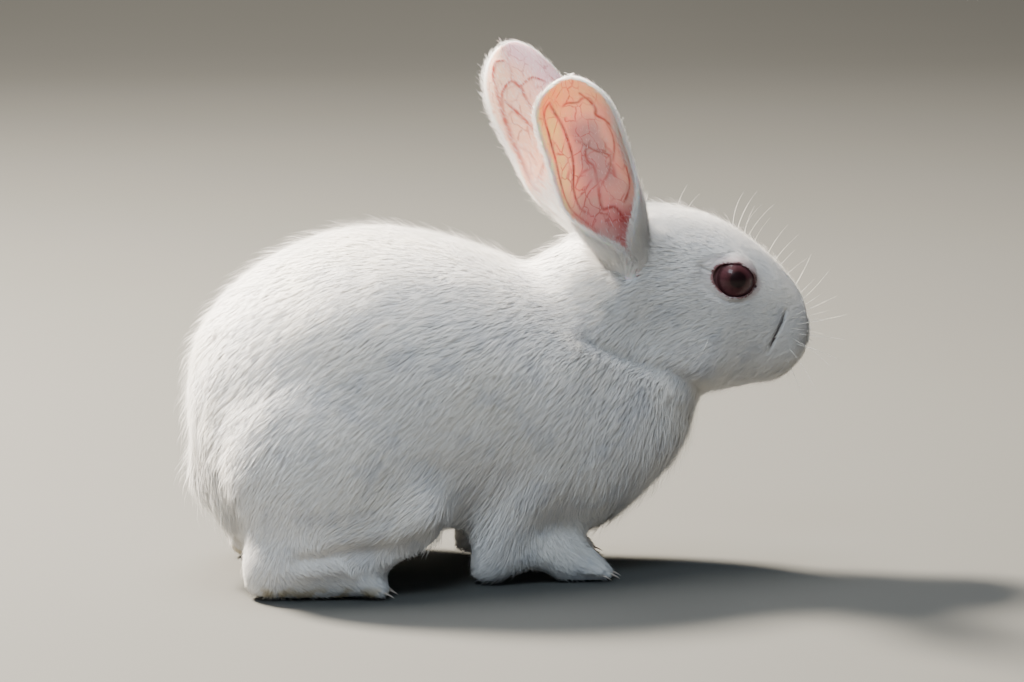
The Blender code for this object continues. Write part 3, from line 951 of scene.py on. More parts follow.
# %% [markdown]
# ## One tuft, grown everywhere
#
# Real hair is far too fine to model hair by hair, and particle hair is lost when a model leaves
# Blender. What survives is mesh: each tuft here is a narrow leaf of five triangles. It rises from
# its root, levels out and ends in a point. A Geometry Nodes tree scatters points over the skin,
# turns a tuft at each point along the lie of the coat, and draws neighbouring tips together
# towards shared centres, because that is what makes fur part into small locks. A leaf's own
# normal would glitter like tin foil, so most of it is replaced by the skin's normal at the root.

# %% Helpers for trees that make geometry
def new_tree(name, numbers):
    """A Geometry Nodes tree with one geometry in and out, and these named number inputs."""
    tree = bpy.data.node_groups.new(name, "GeometryNodeTree")
    tree.interface.new_socket("Geometry", in_out="INPUT", socket_type="NodeSocketGeometry")
    tree.interface.new_socket("Geometry", in_out="OUTPUT", socket_type="NodeSocketGeometry")
    for label, kind in numbers.items():
        tree.interface.new_socket(label, in_out="INPUT", socket_type=kind)
    source = tree.nodes.new("NodeGroupInput")
    return tree, {socket.name: Value(tree, socket) for socket in source.outputs if socket.name}


def end_tree(tree, geometry, finish):
    """Real faces with a finish, as the tree's result."""
    real = add(tree, "GeometryNodeSetMaterial", {}, {"Geometry": geometry, "Material": finish})
    tree.links.new(real.socket, tree.nodes.new("NodeGroupOutput").inputs[0])


def named(tree, name, kind="FLOAT"):
    """What the geometry says about itself under this name."""
    return add(tree, "GeometryNodeInputNamedAttribute", {"data_type": kind}, {"Name": name})


def stored(tree, geometry, name, value, domain="POINT", kind="FLOAT"):
    inputs = {"Geometry": geometry, "Name": name, "Value": value}
    return add(tree, "GeometryNodeStoreNamedAttribute", {"data_type": kind, "domain": domain}, inputs)


def chance(tree, low, high, seed):
    """A random number for each point, always the same for the same seed."""
    return add(tree, "FunctionNodeRandomValue", {"data_type": "FLOAT"}, {2: low, 3: high, 8: seed}, 1)


def chance_way(tree, seed):
    settings = {"data_type": "FLOAT_VECTOR"}
    return add(tree, "FunctionNodeRandomValue", settings, {0: (-1, -1, -1), 1: (1, 1, 1), 8: seed})


def plain_mesh(tree, source, name, numbers):
    """The tree's result on a source mesh, as an object with a plain mesh of its own."""
    helper = new_object(name + "_source", source)
    modifier = helper.modifiers.new("grow", "NODES")
    modifier.node_group = tree
    for item in tree.interface.items_tree:
        if item.in_out == "INPUT" and item.name in numbers:
            modifier[item.identifier] = numbers[item.name]
    return new_object(name, plain_copy(helper, name))

# %% One tuft
TUFT_STEPS = 4
PATCH = 0.003  # each tuft's patch on the unwrapped skin


def tuft_shape(tree):
    """One tuft, a unit long, wide and high, with its root at the origin and its tip ahead along X."""
    sheet = add(tree, "GeometryNodeMeshGrid", {}, [1.0, 1.0, TUFT_STEPS, 2])
    place = add(tree, "GeometryNodeInputPosition", {}, {})
    across, along = part_of(place, "Y"), part_of(place, "X") + 0.5
    taper = sums("POWER", 1 - along, 0.6) * (along * 1.44 + 0.72)
    sheet = stored(tree, sheet, "along", along)
    flat = add(tree, "ShaderNodeCombineXYZ", {}, [along - 0.5, across, 0.0])
    sheet = stored(tree, sheet, "patch", flat, kind="FLOAT_VECTOR")
    leaf = add(tree, "ShaderNodeCombineXYZ", {}, [along, across * taper, along * (2 - along)])
    sheet = add(tree, "GeometryNodeSetPosition", {}, {"Geometry": sheet, "Position": leaf})
    return add(tree, "GeometryNodeMergeByDistance", {}, {"Geometry": sheet, "Distance": 0.001})

# %% The tree that grows the coat
GUARD_HAIRS = 0.08  # the share of tufts that are longer, finer and stand higher than the rest
STRAND_SCALE, DRIFT_SCALE = 1000.0, 80.0  # noise across the strands, and the slow swirl of the coat
OWN_NORMAL = 0.35  # how much of a leaf's own normal is left beside the skin's


def dot(first, second):
    """How far one direction runs along another, as a number."""
    settings = {"operation": "DOT_PRODUCT"}
    return add(first.tree, "ShaderNodeVectorMath", settings, [first, second], "Value")


def coat_tree(finish):
    """Scatters tufts over a patch of skin, lays them along the coat and gives them a finish."""
    number_kinds = {name: "NodeSocketFloat" for name in ("Share", "Lock size", "Locking", "Wander")}
    tree, given = new_tree("grow_coat", {**number_kinds, "Seed": "NodeSocketInt"})
    seed = given["Seed"]
    density = named(tree, "number") * given["Share"]
    scatter = {"Mesh": given["Geometry"], "Density": density, "Seed": seed}
    roots = add(tree, "GeometryNodeDistributePointsOnFaces", {}, scatter)
    normal = Value(tree, roots.socket.node.outputs["Normal"])
    place = add(tree, "GeometryNodeInputPosition", {}, {})
    length = named(tree, "length")

    fine = {"Vector": place, "Scale": STRAND_SCALE, "Detail": 1.0}
    strands = add(tree, "ShaderNodeTexNoise", {}, fine, "Fac")
    streak = add(tree, "ShaderNodeMapRange", {}, [strands, 0.36, 0.64, 0.0, 1.0])
    guard_hair = sums("LESS_THAN", chance(tree, 0.0, 1.0, seed + 1), GUARD_HAIRS)
    long = length * chance(tree, 0.72, 1.12, seed + 2) * (guard_hair * 0.3 + 1)
    wide = named(tree, "width") * chance(tree, 0.7, 1.3, seed + 3) * (1 - guard_hair * 0.45)
    uneven = chance(tree, 0.35, 0.85, seed + 4) + streak * 0.35
    high = long * named(tree, "stand") * uneven * (guard_hair * 0.7 + 1)

    cells = {"Vector": place, "Scale": 1 / given["Lock size"]}
    lock = add(tree, "ShaderNodeTexVoronoi", {}, cells, "Position")
    slow = {"Vector": place, "Scale": DRIFT_SCALE, "Detail": 2.0}
    drift = add(tree, "ShaderNodeTexNoise", {}, slow, "Color") - (0.5, 0.5, 0.5)
    way = named(tree, "lie", "FLOAT_VECTOR") * length + (lock - place) * given["Locking"]
    way = way + drift * (length * given["Wander"]) + chance_way(tree, seed + 5) * (length * 0.14)
    level = way - normal * dot(way, normal)

    settings = {"primary_axis": "X", "secondary_axis": "Z"}
    axes = {"Primary Axis": level, "Secondary Axis": normal}
    turn = add(tree, "FunctionNodeAxesToRotation", settings, axes)
    size = add(tree, "ShaderNodeCombineXYZ", {}, [long, wide, high])
    grown = {"Points": roots, "Instance": tuft_shape(tree), "Rotation": turn, "Scale": size}
    tufts = add(tree, "GeometryNodeInstanceOnPoints", {}, grown)
    # A random cream tone for each tuft, and painted shade between the strands.
    tufts = stored(tree, tufts, "cream_and_shade", streak * 0.6 + chance(tree, 0.0, 0.4, seed + 6), "INSTANCE")
    tufts = stored(tree, tufts, "skin_normal", normal, "INSTANCE", "FLOAT_VECTOR")
    real = add(tree, "GeometryNodeRealizeInstances", {}, {"Geometry": tufts})
    spread = named(tree, "skin_map", "FLOAT_VECTOR") + named(tree, "patch", "FLOAT_VECTOR") * PATCH
    real = stored(tree, real, "OFBake", spread, "CORNER", "FLOAT2")
    own = add(tree, "GeometryNodeInputNormal", {}, {})
    soft = named(tree, "skin_normal", "FLOAT_VECTOR") + own * OWN_NORMAL
    soft = add(tree, "ShaderNodeVectorMath", {"operation": "NORMALIZE"}, [soft])
    real = add(tree, "GeometryNodeSetMeshNormal", {"mode": "FREE"}, {"Mesh": real, "Custom Normal": soft})
    end_tree(tree, real, finish)
    return tree

# %% [markdown]
# ## White fur
#
# White hair is clear, not painted: light goes through many of them and comes out again, so the coat
# is bright but never flat. Each tuft is painted darker at the root, a painted shade for the light
# that gets out less there. Some tufts are a little creamier, and some carry a bluish painted shade
# between the strands. Broad faint patches of warmer fur, small bluish patches of painted shade low
# on the body where the coat parts, a grey patch on the right cheek, the pink of thin fur round the
# eyes and nose with painted shade under the brows, and the stain that every rabbit has on the soles
# are laid over both skin and coat, so that no skin of another colour shows between the tufts.

# %% The markings
FUR_WHITE, FUR_SHADE, FUR_CREAM = (0.90, 0.895, 0.89), (0.72, 0.72, 0.75), (0.90, 0.87, 0.81)
FUR_PARTED_SHADE, CHEEK_GREY, SOLE_STAIN = (0.62, 0.64, 0.69), (0.50, 0.49, 0.52), (0.52, 0.42, 0.22)
# Pink of thin fur, which also serves as painted shade under the brows.
THIN_FUR_AND_BROW_SHADE = (0.56, 0.44, 0.46)
CHEEK_GREY_AT = spot("head", 0.42, -0.85, 0.38)


def marked(tree, colour):
    """The colour with the animal's own markings, and painted shade, laid over it."""
    place = object_place(tree)
    height, ahead = part_of(place, "Z"), part_of(place, "X")
    patches = noise(tree, 0.035, place, 3.0)
    colour = mixed(between(patches, 0.45, 0.7) * 0.55, colour, FUR_CREAM)
    # Painted shade: bluish grey patches low on the body, where the coat parts.
    parted_shade = between(noise(tree, 0.011, place, 4.0, 0.6), 0.48, 0.68)
    colour = mixed(parted_shade * between(height, 0.13, 0.085) * 0.5, colour, FUR_PARTED_SHADE)
    stain = between(noise(tree, 0.006, place, 3.0), 0.42, 0.62) * between(height, 7 * MM, 2 * MM)
    colour = mixed(stain * between(ahead, -0.02, -0.05) * 0.75, colour, SOLE_STAIN)
    # A grey patch on the right cheek.
    far = add(tree, "ShaderNodeVectorMath", {"operation": "DISTANCE"}, [place, tuple(CHEEK_GREY_AT)], "Value")
    cheek_grey = between(far, 8 * MM, 2 * MM) * between(noise(tree, 0.002, place, 3.0), 0.45, 0.65)
    colour = mixed(cheek_grey * 0.35, colour, CHEEK_GREY)
    # Pink of thin fur round the eyes and nose, and painted shade under the brows.
    return mixed(attribute(tree, "blush") * 0.75, colour, THIN_FUR_AND_BROW_SHADE)

# %% The finishes of the skin and the coat
SKIN_PINK, SKIN_PINK_DEEP = (0.80, 0.56, 0.55), (0.66, 0.40, 0.42)
LID_MAUVE, SLIT_SHADE = (0.17, 0.07, 0.075), (0.10, 0.05, 0.06)


def skin_finish():
    finish, tree, shader = material("skin_under_fur", Roughness=0.75)
    bare, dark = attribute(tree, "bare"), attribute(tree, "dark")
    place = object_place(tree)
    colour = marked(tree, mixed(noise(tree, 0.001, place), FUR_SHADE, FUR_WHITE))
    pores = noise(tree, 0.0012, place, 3.0)
    pink = mixed(pores, SKIN_PINK, SKIN_PINK_DEEP)
    colour = mixed(between(bare, 0.35, 0.8), colour, pink)
    colour = mixed(attribute(tree, "lid") * between(pores, 0.3, 0.7, 0.75, 1.0), colour, LID_MAUVE)
    # Painted shade in the slits, creases and corners of the eyes.
    plug(tree, mixed(dark * 0.9, colour, SLIT_SHADE), shader, "Base Color")
    plug(tree, between(bare, 0.5, 1.0, 0.8, 0.42), shader, "Roughness")
    roughen(tree, noise(tree, 0.0005, place, 4.0, 0.65), 0.5, 0.3 * MM, shader)
    return finish


def coat_finish():
    finish, tree, shader = material("white_fur", Roughness=0.62, Sheen_Weight=0.25, Sheen_Roughness=0.5)
    along, cream_and_shade = attribute(tree, "along"), attribute(tree, "cream_and_shade")
    # Painted shade: each tuft darker towards its root.
    colour = mixed(between(along, -0.5, 0.5), FUR_SHADE, FUR_WHITE)
    colour = mixed(between(cream_and_shade, 0.6, 1.0) * 0.5, colour, FUR_CREAM)
    # Painted shade: some tufts drawn towards the bluish shade colour.
    colour = mixed(between(cream_and_shade, 0.4, 0.0) * 0.4, colour, FUR_SHADE)
    plug(tree, marked(tree, colour), shader, "Base Color")
    return finish


skin_mesh.materials.append(skin_finish())
white_fur = coat_finish()
grow_coat = coat_tree(white_fur)
print("nodes in the fur's finish and in its tree:", len(white_fur.node_tree.nodes), len(grow_coat.nodes))

# %% [markdown]
# ## Eyes
#
# A white rabbit's iris has no pigment, so what colours the eye is the blood behind it: a deep ruby
# pupil in a mauve ring. The ball is a turned shape about its line of sight, with the small swelling
# of the cornea, and it carries two attributes: how far a point is from the line of sight, and
# which way round it lies. The pupil, the fibres of the iris and its dark rim are all drawn from
# those. A clear coat gives the wet shine.

# %% Turn the eyeballs
EYE_RINGS, EYE_SEGMENTS = 56, 72
CORNEA_SWELL, CORNEA_REACH = 0.45 * MM, math.radians(52)
IRIS_RUBY, IRIS_MAUVE, IRIS_RIM = (0.045, 0.012, 0.014), (0.09, 0.03, 0.037), (0.05, 0.016, 0.02)
PUPIL, EYE_WHITE = (0.012, 0.003, 0.004), (0.16, 0.07, 0.075)
LOOKS = (0.1, 0, 0.06)  # the sight line leans this way, forward and up, from straight out


def make_eye(side):
    centre, _, _, out = eye_frame(side)
    turn = Vector(out + LOOKS).to_track_quat("Z", "Y").to_matrix()
    away = np.linspace(0, math.pi, EYE_RINGS + 1)
    around = np.arange(EYE_SEGMENTS) * 2 * math.pi / EYE_SEGMENTS
    radius = EYE_RADIUS - 0.3 * MM + CORNEA_SWELL * bump(away, CORNEA_REACH)
    bm = bmesh.new()
    rows = []
    for angle, r in zip(away[1:-1], radius[1:-1]):
        out_by, high = r * math.sin(angle), r * math.cos(angle)
        rows.append([bm.verts.new((out_by * math.cos(w), out_by * math.sin(w), high)) for w in around])
    front, back = bm.verts.new((0, 0, radius[0])), bm.verts.new((0, 0, -radius[-1]))
    for i in range(EYE_SEGMENTS):
        j = (i + 1) % EYE_SEGMENTS
        bm.faces.new((front, rows[0][i], rows[0][j]))
        bm.faces.new((back, rows[-1][j], rows[-1][i]))
        for first, second in zip(rows, rows[1:]):
            bm.faces.new((first[i], second[i], second[j], first[j]))
    eye = new_object("eyeball_" + side, mesh_of(bm, "eyeball_" + side))
    local = points_of(eye.data)
    angle = np.arccos(np.clip(unit(local)[:, 2], -1, 1))
    sideways = unit(np.column_stack((local[:, :2], 1e-7 + 0 * angle)))
    iris_way = np.column_stack((sideways[:, :2], 0.25 * angle))
    keep_values(eye.data, from_sight_line=np.degrees(angle), iris_way=iris_way)
    move_points(eye.data, local @ np.array(turn).T + centre)
    eye.data.shade_smooth()
    return eye

# %% The ruby iris
def eye_finish():
    wet = {"Coat_Weight": 0.5, "Coat_Roughness": 0.05, "Coat_IOR": 1.33}
    finish, tree, shader = material("wet_ruby_eye", Roughness=0.4, Specular_IOR_Level=0.15, **wet)
    angle = attribute(tree, "from_sight_line")
    fibres = noise(tree, 0.09, attribute(tree, "iris_way", "Vector"), 4.0, 0.7)
    iris = mixed(between(angle, 19, 40) * between(fibres, 0.3, 0.6, 0.55, 1.0), IRIS_RUBY, IRIS_MAUVE)
    colour = mixed(between(angle + fibres * 3, 18, 26), PUPIL, iris)
    colour = mixed(between(angle, 44, 50), colour, IRIS_RIM)
    plug(tree, mixed(between(angle, 54, 60), colour, EYE_WHITE), shader, "Base Color")
    return finish


ruby_eye = eye_finish()
for side in SIDES:
    eye = make_eye(side)
    eye.data.materials.append(ruby_eye)
    finished_piece(eye, "eye_ruby", "eye_" + side)
print("eyes:", EYE_RINGS * EYE_SEGMENTS, "faces each, radius", round(EYE_RADIUS / MM, 1), "mm")

# %% [markdown]
# ## Ears
#
# An ear is a leaf of gristle rolled into a tube at its base and opened into a cupped blade. That is
# a rule, so the ear is worked out from it: a midline from base to tip, a half width at every
# height, and a curl that runs from nearly closed to open. The leaf is a millimetre thick and thins
# to nothing at its rounded margin. Its veins are paths drawn on the leaf as (up, across), and each
# vertex keeps how close it is to one, for the colour and for a slight swelling.

# %% The ear's own shape
EAR_OPENS = {"right": (-0.36, -1, 0), "left": (-0.3, 1, 0)}  # the way the blade faces
EAR_SLIT_AHEAD = 0.5  # how much further forward the slit of the tube faces
EAR_SUNK = 0.12  # the tube runs this share of the ear's length down into the head
EAR_HALF_WIDTH, EAR_TIP_ROUNDNESS = {"right": 14.4 * MM, "left": 15.8 * MM}, {"right": 5.5, "left": 3.0}
EAR_WIDEST, EAR_TUBE_RADIUS, EAR_RISE, EAR_BOW = 0.575, 7.3 * MM, 1.55, 5.2 * MM
EAR_REAR_CURL, EAR_FRONT_CURL, EAR_TUBE_CURL = 66, 70, 176
EAR_TUBE_ENDS, EAR_BLADE_STARTS = 0.09, 0.62
EAR_THICKNESS = 1.1 * MM
EAR_ROWS, EAR_COLUMNS = 224, 80


def ear_half_width(side, up):
    rise = np.sin(0.5 * np.pi * np.clip(up / EAR_WIDEST, 0, 1)) ** EAR_RISE
    fall = np.clip((up - EAR_WIDEST) / (1 - EAR_WIDEST), 0, 1)
    widest = EAR_HALF_WIDTH[side]
    blade = widest * np.sqrt(np.clip(1 - fall ** EAR_TIP_ROUNDNESS[side], 0, 1))
    return np.where(up < EAR_WIDEST, EAR_TUBE_RADIUS + (widest - EAR_TUBE_RADIUS) * rise, blade)


def ear_leaf(side, up, across):
    """Places on the middle of the leaf: up 0 to 1 from base to tip, across 0 to 1 from rear to front."""
    start, end = np.array(EAR_BASES[side]), np.array(EAR_TIPS[side])
    axis = unit(end - start)
    unrolled = np.clip((up - EAR_TUBE_ENDS) / (EAR_BLADE_STARTS - EAR_TUBE_ENDS), 0, 1)
    opening = np.array(EAR_OPENS[side], float)
    opening = opening + np.array((EAR_SLIT_AHEAD, 0, 0)) * (1 - unrolled)[..., None] ** 1.5
    opening = unit(opening - axis * (opening @ axis)[..., None])
    front = np.cross(opening, axis)
    front = front * np.sign(front[..., :1])
    closing = 0.5 + 0.5 * np.cos(np.pi * unrolled)
    rear = np.radians(EAR_REAR_CURL + (EAR_TUBE_CURL - EAR_REAR_CURL) * closing)
    fore = np.radians(EAR_FRONT_CURL + (EAR_TUBE_CURL - EAR_FRONT_CURL) * closing)
    reach_rear, reach_fore = np.sin(np.minimum(rear, np.pi / 2)), np.sin(np.minimum(fore, np.pi / 2))
    radius = 2 * ear_half_width(side, up) / (reach_rear + reach_fore)
    angle = -rear + (rear + fore) * across
    forward = radius * (reach_rear - reach_fore) / 2 + radius * np.sin(angle)
    outward = radius * (1 - np.cos(angle)) - EAR_BOW * np.sin(np.pi * up.clip(0))
    return start + up[..., None] * (end - start) + forward[..., None] * front + outward[..., None] * opening


for side in SIDES:
    stands = (EAR_TIPS[side] - EAR_BASES[side]).length
    print("ear", side, round(stands / MM), "by", round(2 * EAR_HALF_WIDTH[side] / MM), "mm")

# %% Veins
# Seen from inside the right ear and from behind the left one: places (up, across from the rear),
# then the vein's width in mm
EAR_VEINS = {
    "right": [
        ([(0.2, 0.39), (0.28, 0.3), (0.38, 0.17), (0.49, 0.1),
          (0.61, 0.1), (0.75, 0.12), (0.86, 0.13), (0.9, 0.21)], 0.8),
        ([(0.29, 0.36), (0.35, 0.29), (0.45, 0.26), (0.53, 0.28),
          (0.65, 0.29), (0.77, 0.28), (0.9, 0.21)], 0.9),
        ([(0.18, 0.6), (0.27, 0.55), (0.28, 0.47), (0.38, 0.47)], 1.0),
        ([(0.38, 0.47), (0.45, 0.47), (0.5, 0.46), (0.53, 0.42),
          (0.58, 0.42), (0.6, 0.46), (0.63, 0.49)], 0.7),
        ([(0.38, 0.47), (0.43, 0.55), (0.49, 0.62), (0.54, 0.64),
          (0.57, 0.53), (0.6, 0.46), (0.63, 0.41), (0.65, 0.36)], 0.7),
        ([(0.49, 0.47), (0.48, 0.35), (0.45, 0.3)], 0.5),
        ([(0.29, 0.62), (0.42, 0.76), (0.56, 0.83), (0.67, 0.84),
          (0.74, 0.74), (0.77, 0.65), (0.82, 0.67), (0.9, 0.57)], 1.3),
        ([(0.51, 0.66), (0.6, 0.75), (0.67, 0.77), (0.72, 0.74)], 0.8),
        ([(0.82, 0.67), (0.865, 0.66), (0.87, 0.58), (0.85, 0.5), (0.86, 0.4), (0.85, 0.35)], 0.7),
    ],
    "left": [
        ([(0.3, 0.29), (0.39, 0.19), (0.46, 0.12), (0.55, 0.1),
          (0.63, 0.1), (0.71, 0.13), (0.78, 0.15), (0.86, 0.17)], 2.0),
        ([(0.86, 0.17), (0.91, 0.17), (0.95, 0.22), (0.94, 0.34)], 1.15),
        ([(0.71, 0.14), (0.79, 0.18), (0.83, 0.23), (0.85, 0.34),
          (0.81, 0.39), (0.76, 0.39), (0.69, 0.4), (0.58, 0.46)], 1.15),
        ([(0.81, 0.39), (0.82, 0.47), (0.82, 0.55), (0.78, 0.64)], 1.0),
        ([(0.94, 0.39), (0.88, 0.38), (0.85, 0.35)], 0.6),
        ([(0.79, 0.21), (0.74, 0.25), (0.7, 0.28), (0.64, 0.31),
          (0.6, 0.33), (0.46, 0.4), (0.3, 0.46)], 1.3),
        ([(0.74, 0.25), (0.73, 0.17)], 0.5),
        ([(0.6, 0.13), (0.55, 0.2), (0.5, 0.22)], 0.5),
        ([(0.3, 0.5), (0.45, 0.6), (0.58, 0.72), (0.7, 0.78), (0.8, 0.72)], 1.15),
    ],
}
VEIN_LEAST = 0.9 * MM  # a thinner vein is drawn fainter instead, or the faces would break it up


def vein_closeness(places, path, reach, strength):
    """Up to 1 on a vein's line, falling to 0 at its reach. Reach and strength may differ along it."""
    close = np.zeros(len(places))
    for start, end, wide, strong in zip(path, path[1:], reach, strength):
        close = np.maximum(close, strong * bump(from_segment(places, start, end), wide))
    return close


def veins_on(side, leaf):
    """How close each place of the leaf is to a vein, from 0 to 1."""
    vein = np.zeros(leaf.shape[:2])
    for route, width in EAR_VEINS[side]:
        line = curve_through([(*place, 0) for place in route])
        path = ear_leaf(side, line[:, 0], line[:, 1])
        thin = 1 - 0.45 * np.abs(np.linspace(-1, 1, len(path))) ** 2
        wide = width * MM * thin
        strong = (wide / VEIN_LEAST).clip(0, 1)
        close = vein_closeness(leaf.reshape(-1, 3), path, wide.clip(VEIN_LEAST), strong)
        vein = np.maximum(vein, close.reshape(vein.shape))
    return vein


print("veins:", {side: len(routes) for side, routes in EAR_VEINS.items()})

# %% The hollow under each ear
HOLLOW_FLOOR = -0.08  # how far down it goes, as a share of the ear's length


def hollow_the_head(mesh):
    """Sinks the skin inside each ear's tube, where nothing grows, so that the ear opens into the head."""
    places = points_of(mesh)
    hollow = np.zeros(len(places))
    for side in SIDES:
        start, end = np.array(EAR_BASES[side]), np.array(EAR_TIPS[side])
        up = (places - start) @ (end - start) / ((end - start) @ (end - start))
        height = up.clip(HOLLOW_FLOOR, 0.4)
        ring = [ear_leaf(side, height, np.full(len(up), turn)) for turn in np.linspace(0.05, 0.95, 10)]
        apart = np.linalg.norm(places - np.mean(ring, axis=0), axis=1)
        inside = np.clip((ear_half_width(side, height) + 0.3 * MM - apart) / (0.8 * MM), 0, 1)
        places = places + (end - start) * (np.minimum(HOLLOW_FLOOR - up, 0) * inside)[:, None]
        hollow = np.maximum(hollow, inside)
    move_points(mesh, places)
    bare = np.maximum(kept_value(mesh, "bare"), hollow)
    keep_values(mesh, number=kept_value(mesh, "number") * (hollow < 0.3), bare=bare)


hollow_the_head(skin_mesh)
bare_points = int((kept_value(skin_mesh, "bare") > 0.5).sum())
print("bare skin at", bare_points, "points of", len(skin_mesh.vertices))

# %% Make the ears
EAR_MARGIN = 1.1 * MM  # how far in from its edge the leaf has its full thickness
EAR_TIP_THINS = 0.985  # how far up it starts to thin towards the tip
VEIN_SWELL = 0.18 * MM


def grid_faces(rows, columns, start, flipped):
    corner = start + np.arange(rows)[:, None] * (columns + 1) + np.arange(columns)[None]
    faces = np.stack((corner, corner + 1, corner + columns + 2, corner + columns + 1), -1)
    return faces.reshape(-1, 4)[:, ::-1] if flipped else faces.reshape(-1, 4)


def make_ear(side):
    """A closed leaf: the inner face and the outer face meet along the margin. Returns the object."""
    steps = np.linspace(0, 1, EAR_ROWS + 1)
    upwards = (1 + EAR_SUNK) * (1 - (1 - steps) ** 1.15) - EAR_SUNK
    up, across = np.meshgrid(upwards, np.linspace(0, 1, EAR_COLUMNS + 1), indexing="ij")
    leaf = ear_leaf(side, up, across)
    upward, sideways = unit(np.gradient(leaf, axis=0)), unit(np.gradient(leaf, axis=1))
    sideways[-1] = sideways[-2]
    inward = unit(np.cross(upward, sideways))
    opening = np.array(EAR_OPENS[side], float)
    inward *= np.sign((inward * opening).sum(-1).mean())
    from_margin = np.minimum(across, 1 - across) * 2.3 * ear_half_width(side, up)
    round_off = np.sqrt(np.clip(1 - (1 - np.clip(from_margin / EAR_MARGIN, 0, 1)) ** 2, 0, 1))
    past = np.clip(up - EAR_TIP_THINS, 0, 1) / 0.015
    round_off = round_off * np.sqrt(np.clip(1 - past**2, 0, 1))
    vein = veins_on(side, leaf)
    half = (0.5 * EAR_THICKNESS * round_off)[..., None]
    offset = inward * (half + (VEIN_SWELL * vein * round_off)[..., None])
    both = np.concatenate([(leaf + offset).reshape(-1, 3), (leaf - offset).reshape(-1, 3)])
    faces = [grid_faces(EAR_ROWS, EAR_COLUMNS, 0, False), grid_faces(EAR_ROWS, EAR_COLUMNS, up.size, True)]
    mesh = bpy.data.meshes.new("ear_leaf_" + side)
    mesh.from_pydata(both.tolist(), [], np.concatenate(faces).tolist())
    numbers = {"up": up, "across": across, "from_margin": from_margin / MM, "vein": vein}
    keep_values(mesh, **{name: np.tile(values.ravel(), 2) for name, values in numbers.items()})
    ways = {"upward": upward, "forward": sideways}
    keep_values(mesh, **{name: np.tile(rows.reshape(-1, 3), (2, 1)) for name, rows in ways.items()})
    keep_values(mesh, inner_face=np.repeat((1.0, 0.0), up.size))
    bm = bmesh.new()
    bm.from_mesh(mesh)
    bmesh.ops.remove_doubles(bm, verts=bm.verts, dist=0.004 * MM)
    bmesh.ops.recalc_face_normals(bm, faces=bm.faces)
    bm.to_mesh(mesh)
    bm.free()
    mesh.shade_smooth()
    return new_object("ear_leaf_" + side, mesh)

# %% The colours of an ear
# The cream is partly painted light through the leaf, the mauve a painted shadow, the lilac painted shade.
EAR_CREAM_GLOW, EAR_PEACH, EAR_AMBER = (0.96, 0.86, 0.62), (0.94, 0.76, 0.60), (0.96, 0.74, 0.42)
EAR_SALMON, EAR_ROSE, EAR_NOTCH = (0.84, 0.46, 0.38), (0.78, 0.45, 0.42), (0.60, 0.20, 0.19)
EAR_SHADOW_MAUVE, EAR_OUTER, EAR_SHADE_LILAC = (0.60, 0.50, 0.50), (0.90, 0.60, 0.45), (0.78, 0.56, 0.66)
VEIN_INNER, VEIN_OUTER = (0.50, 0.03, 0.025), (0.38, 0.004, 0.004)


def ear_colour(tree):
    """The colour of bare ear skin: cream behind, partly a painted glow, salmon in front, a painted mauve
    shadow in the hollow, painted lilac shade outside, veins over all.
    """
    up, across = attribute(tree, "up"), attribute(tree, "across")
    place = object_place(tree)
    cloud = noise(tree, 0.008, place, 3.0) * 0.24 - 0.12
    # Partly painted light: the cream at the rear of the inner face.
    inner = mixed(between(across + cloud, 0.1, 0.34), EAR_CREAM_GLOW, EAR_PEACH)
    off_middle = sums("ABSOLUTE", across + cloud * 0.5 - 0.5)
    # Painted shadow: mauve over the middle of the inner face.
    hollow = between(off_middle, 0.24, 0.08) * between(up, 0.82, 0.68) * between(up, 0.28, 0.45)
    inner = mixed(hollow * 0.9, inner, EAR_SHADOW_MAUVE)
    inner = mixed(between(across + cloud, 0.62, 0.82) * 0.9, inner, EAR_SALMON)
    inner = mixed(between(up + cloud * 0.3, 0.78, 0.9) * 0.8, inner, EAR_AMBER)
    inner = mixed(between(up + cloud, 0.42, 0.22) * 0.85, inner, EAR_ROSE)
    inner = mixed(between(up, 0.3, 0.2) * between(across, 0.45, 0.6), inner, EAR_NOTCH)
    # Painted shade: lilac towards the top and front of the outer face.
    outer = mixed(between(up * 0.6 + across + cloud, 0.85, 1.15) * 0.8, EAR_OUTER, EAR_SHADE_LILAC)
    inside = attribute(tree, "inner_face")
    colour = mixed(inside, outer, inner)
    net = add(tree, "ShaderNodeCombineXYZ", {}, [across * 8 + cloud * 6, up * 11 + cloud * 5, inside])
    cells = {"Vector": net, "Scale": 1.0}
    fine = add(tree, "ShaderNodeTexVoronoi", {"feature": "DISTANCE_TO_EDGE"}, cells, "Distance")
    fine = between(fine, 0.07, 0.0) * 0.5 * between(noise(tree, 0.006, place), 0.35, 0.6)
    main = attribute(tree, "vein") * between(noise(tree, 0.003, place, 3.0), 0.3, 0.7, 0.6, 0.95)
    vein = sums("MAXIMUM", main, fine)
    return mixed(vein, colour, mixed(inside, VEIN_OUTER, VEIN_INNER))


def ear_finish():
    glow = {"Subsurface_Weight": 0.75, "Subsurface_Scale": 1.7 * MM, "Subsurface_Radius": (1.0, 0.6, 0.42)}
    finish, tree, shader = material("thin_ear_skin", Roughness=0.5, **glow)
    place = object_place(tree)
    margin = attribute(tree, "from_margin") + noise(tree, 0.003, place) * 1.4
    colour = mixed(between(margin, 3.2, 1.8), ear_colour(tree), FUR_WHITE)
    furry_base = between(attribute(tree, "up"), 0.3, 0.2) * (1 - attribute(tree, "inner_face"))
    plug(tree, mixed(furry_base, colour, FUR_WHITE), shader, "Base Color")
    roughen(tree, noise(tree, 0.0006, place, 3.0), 0.35, 0.2 * MM, shader)
    return finish


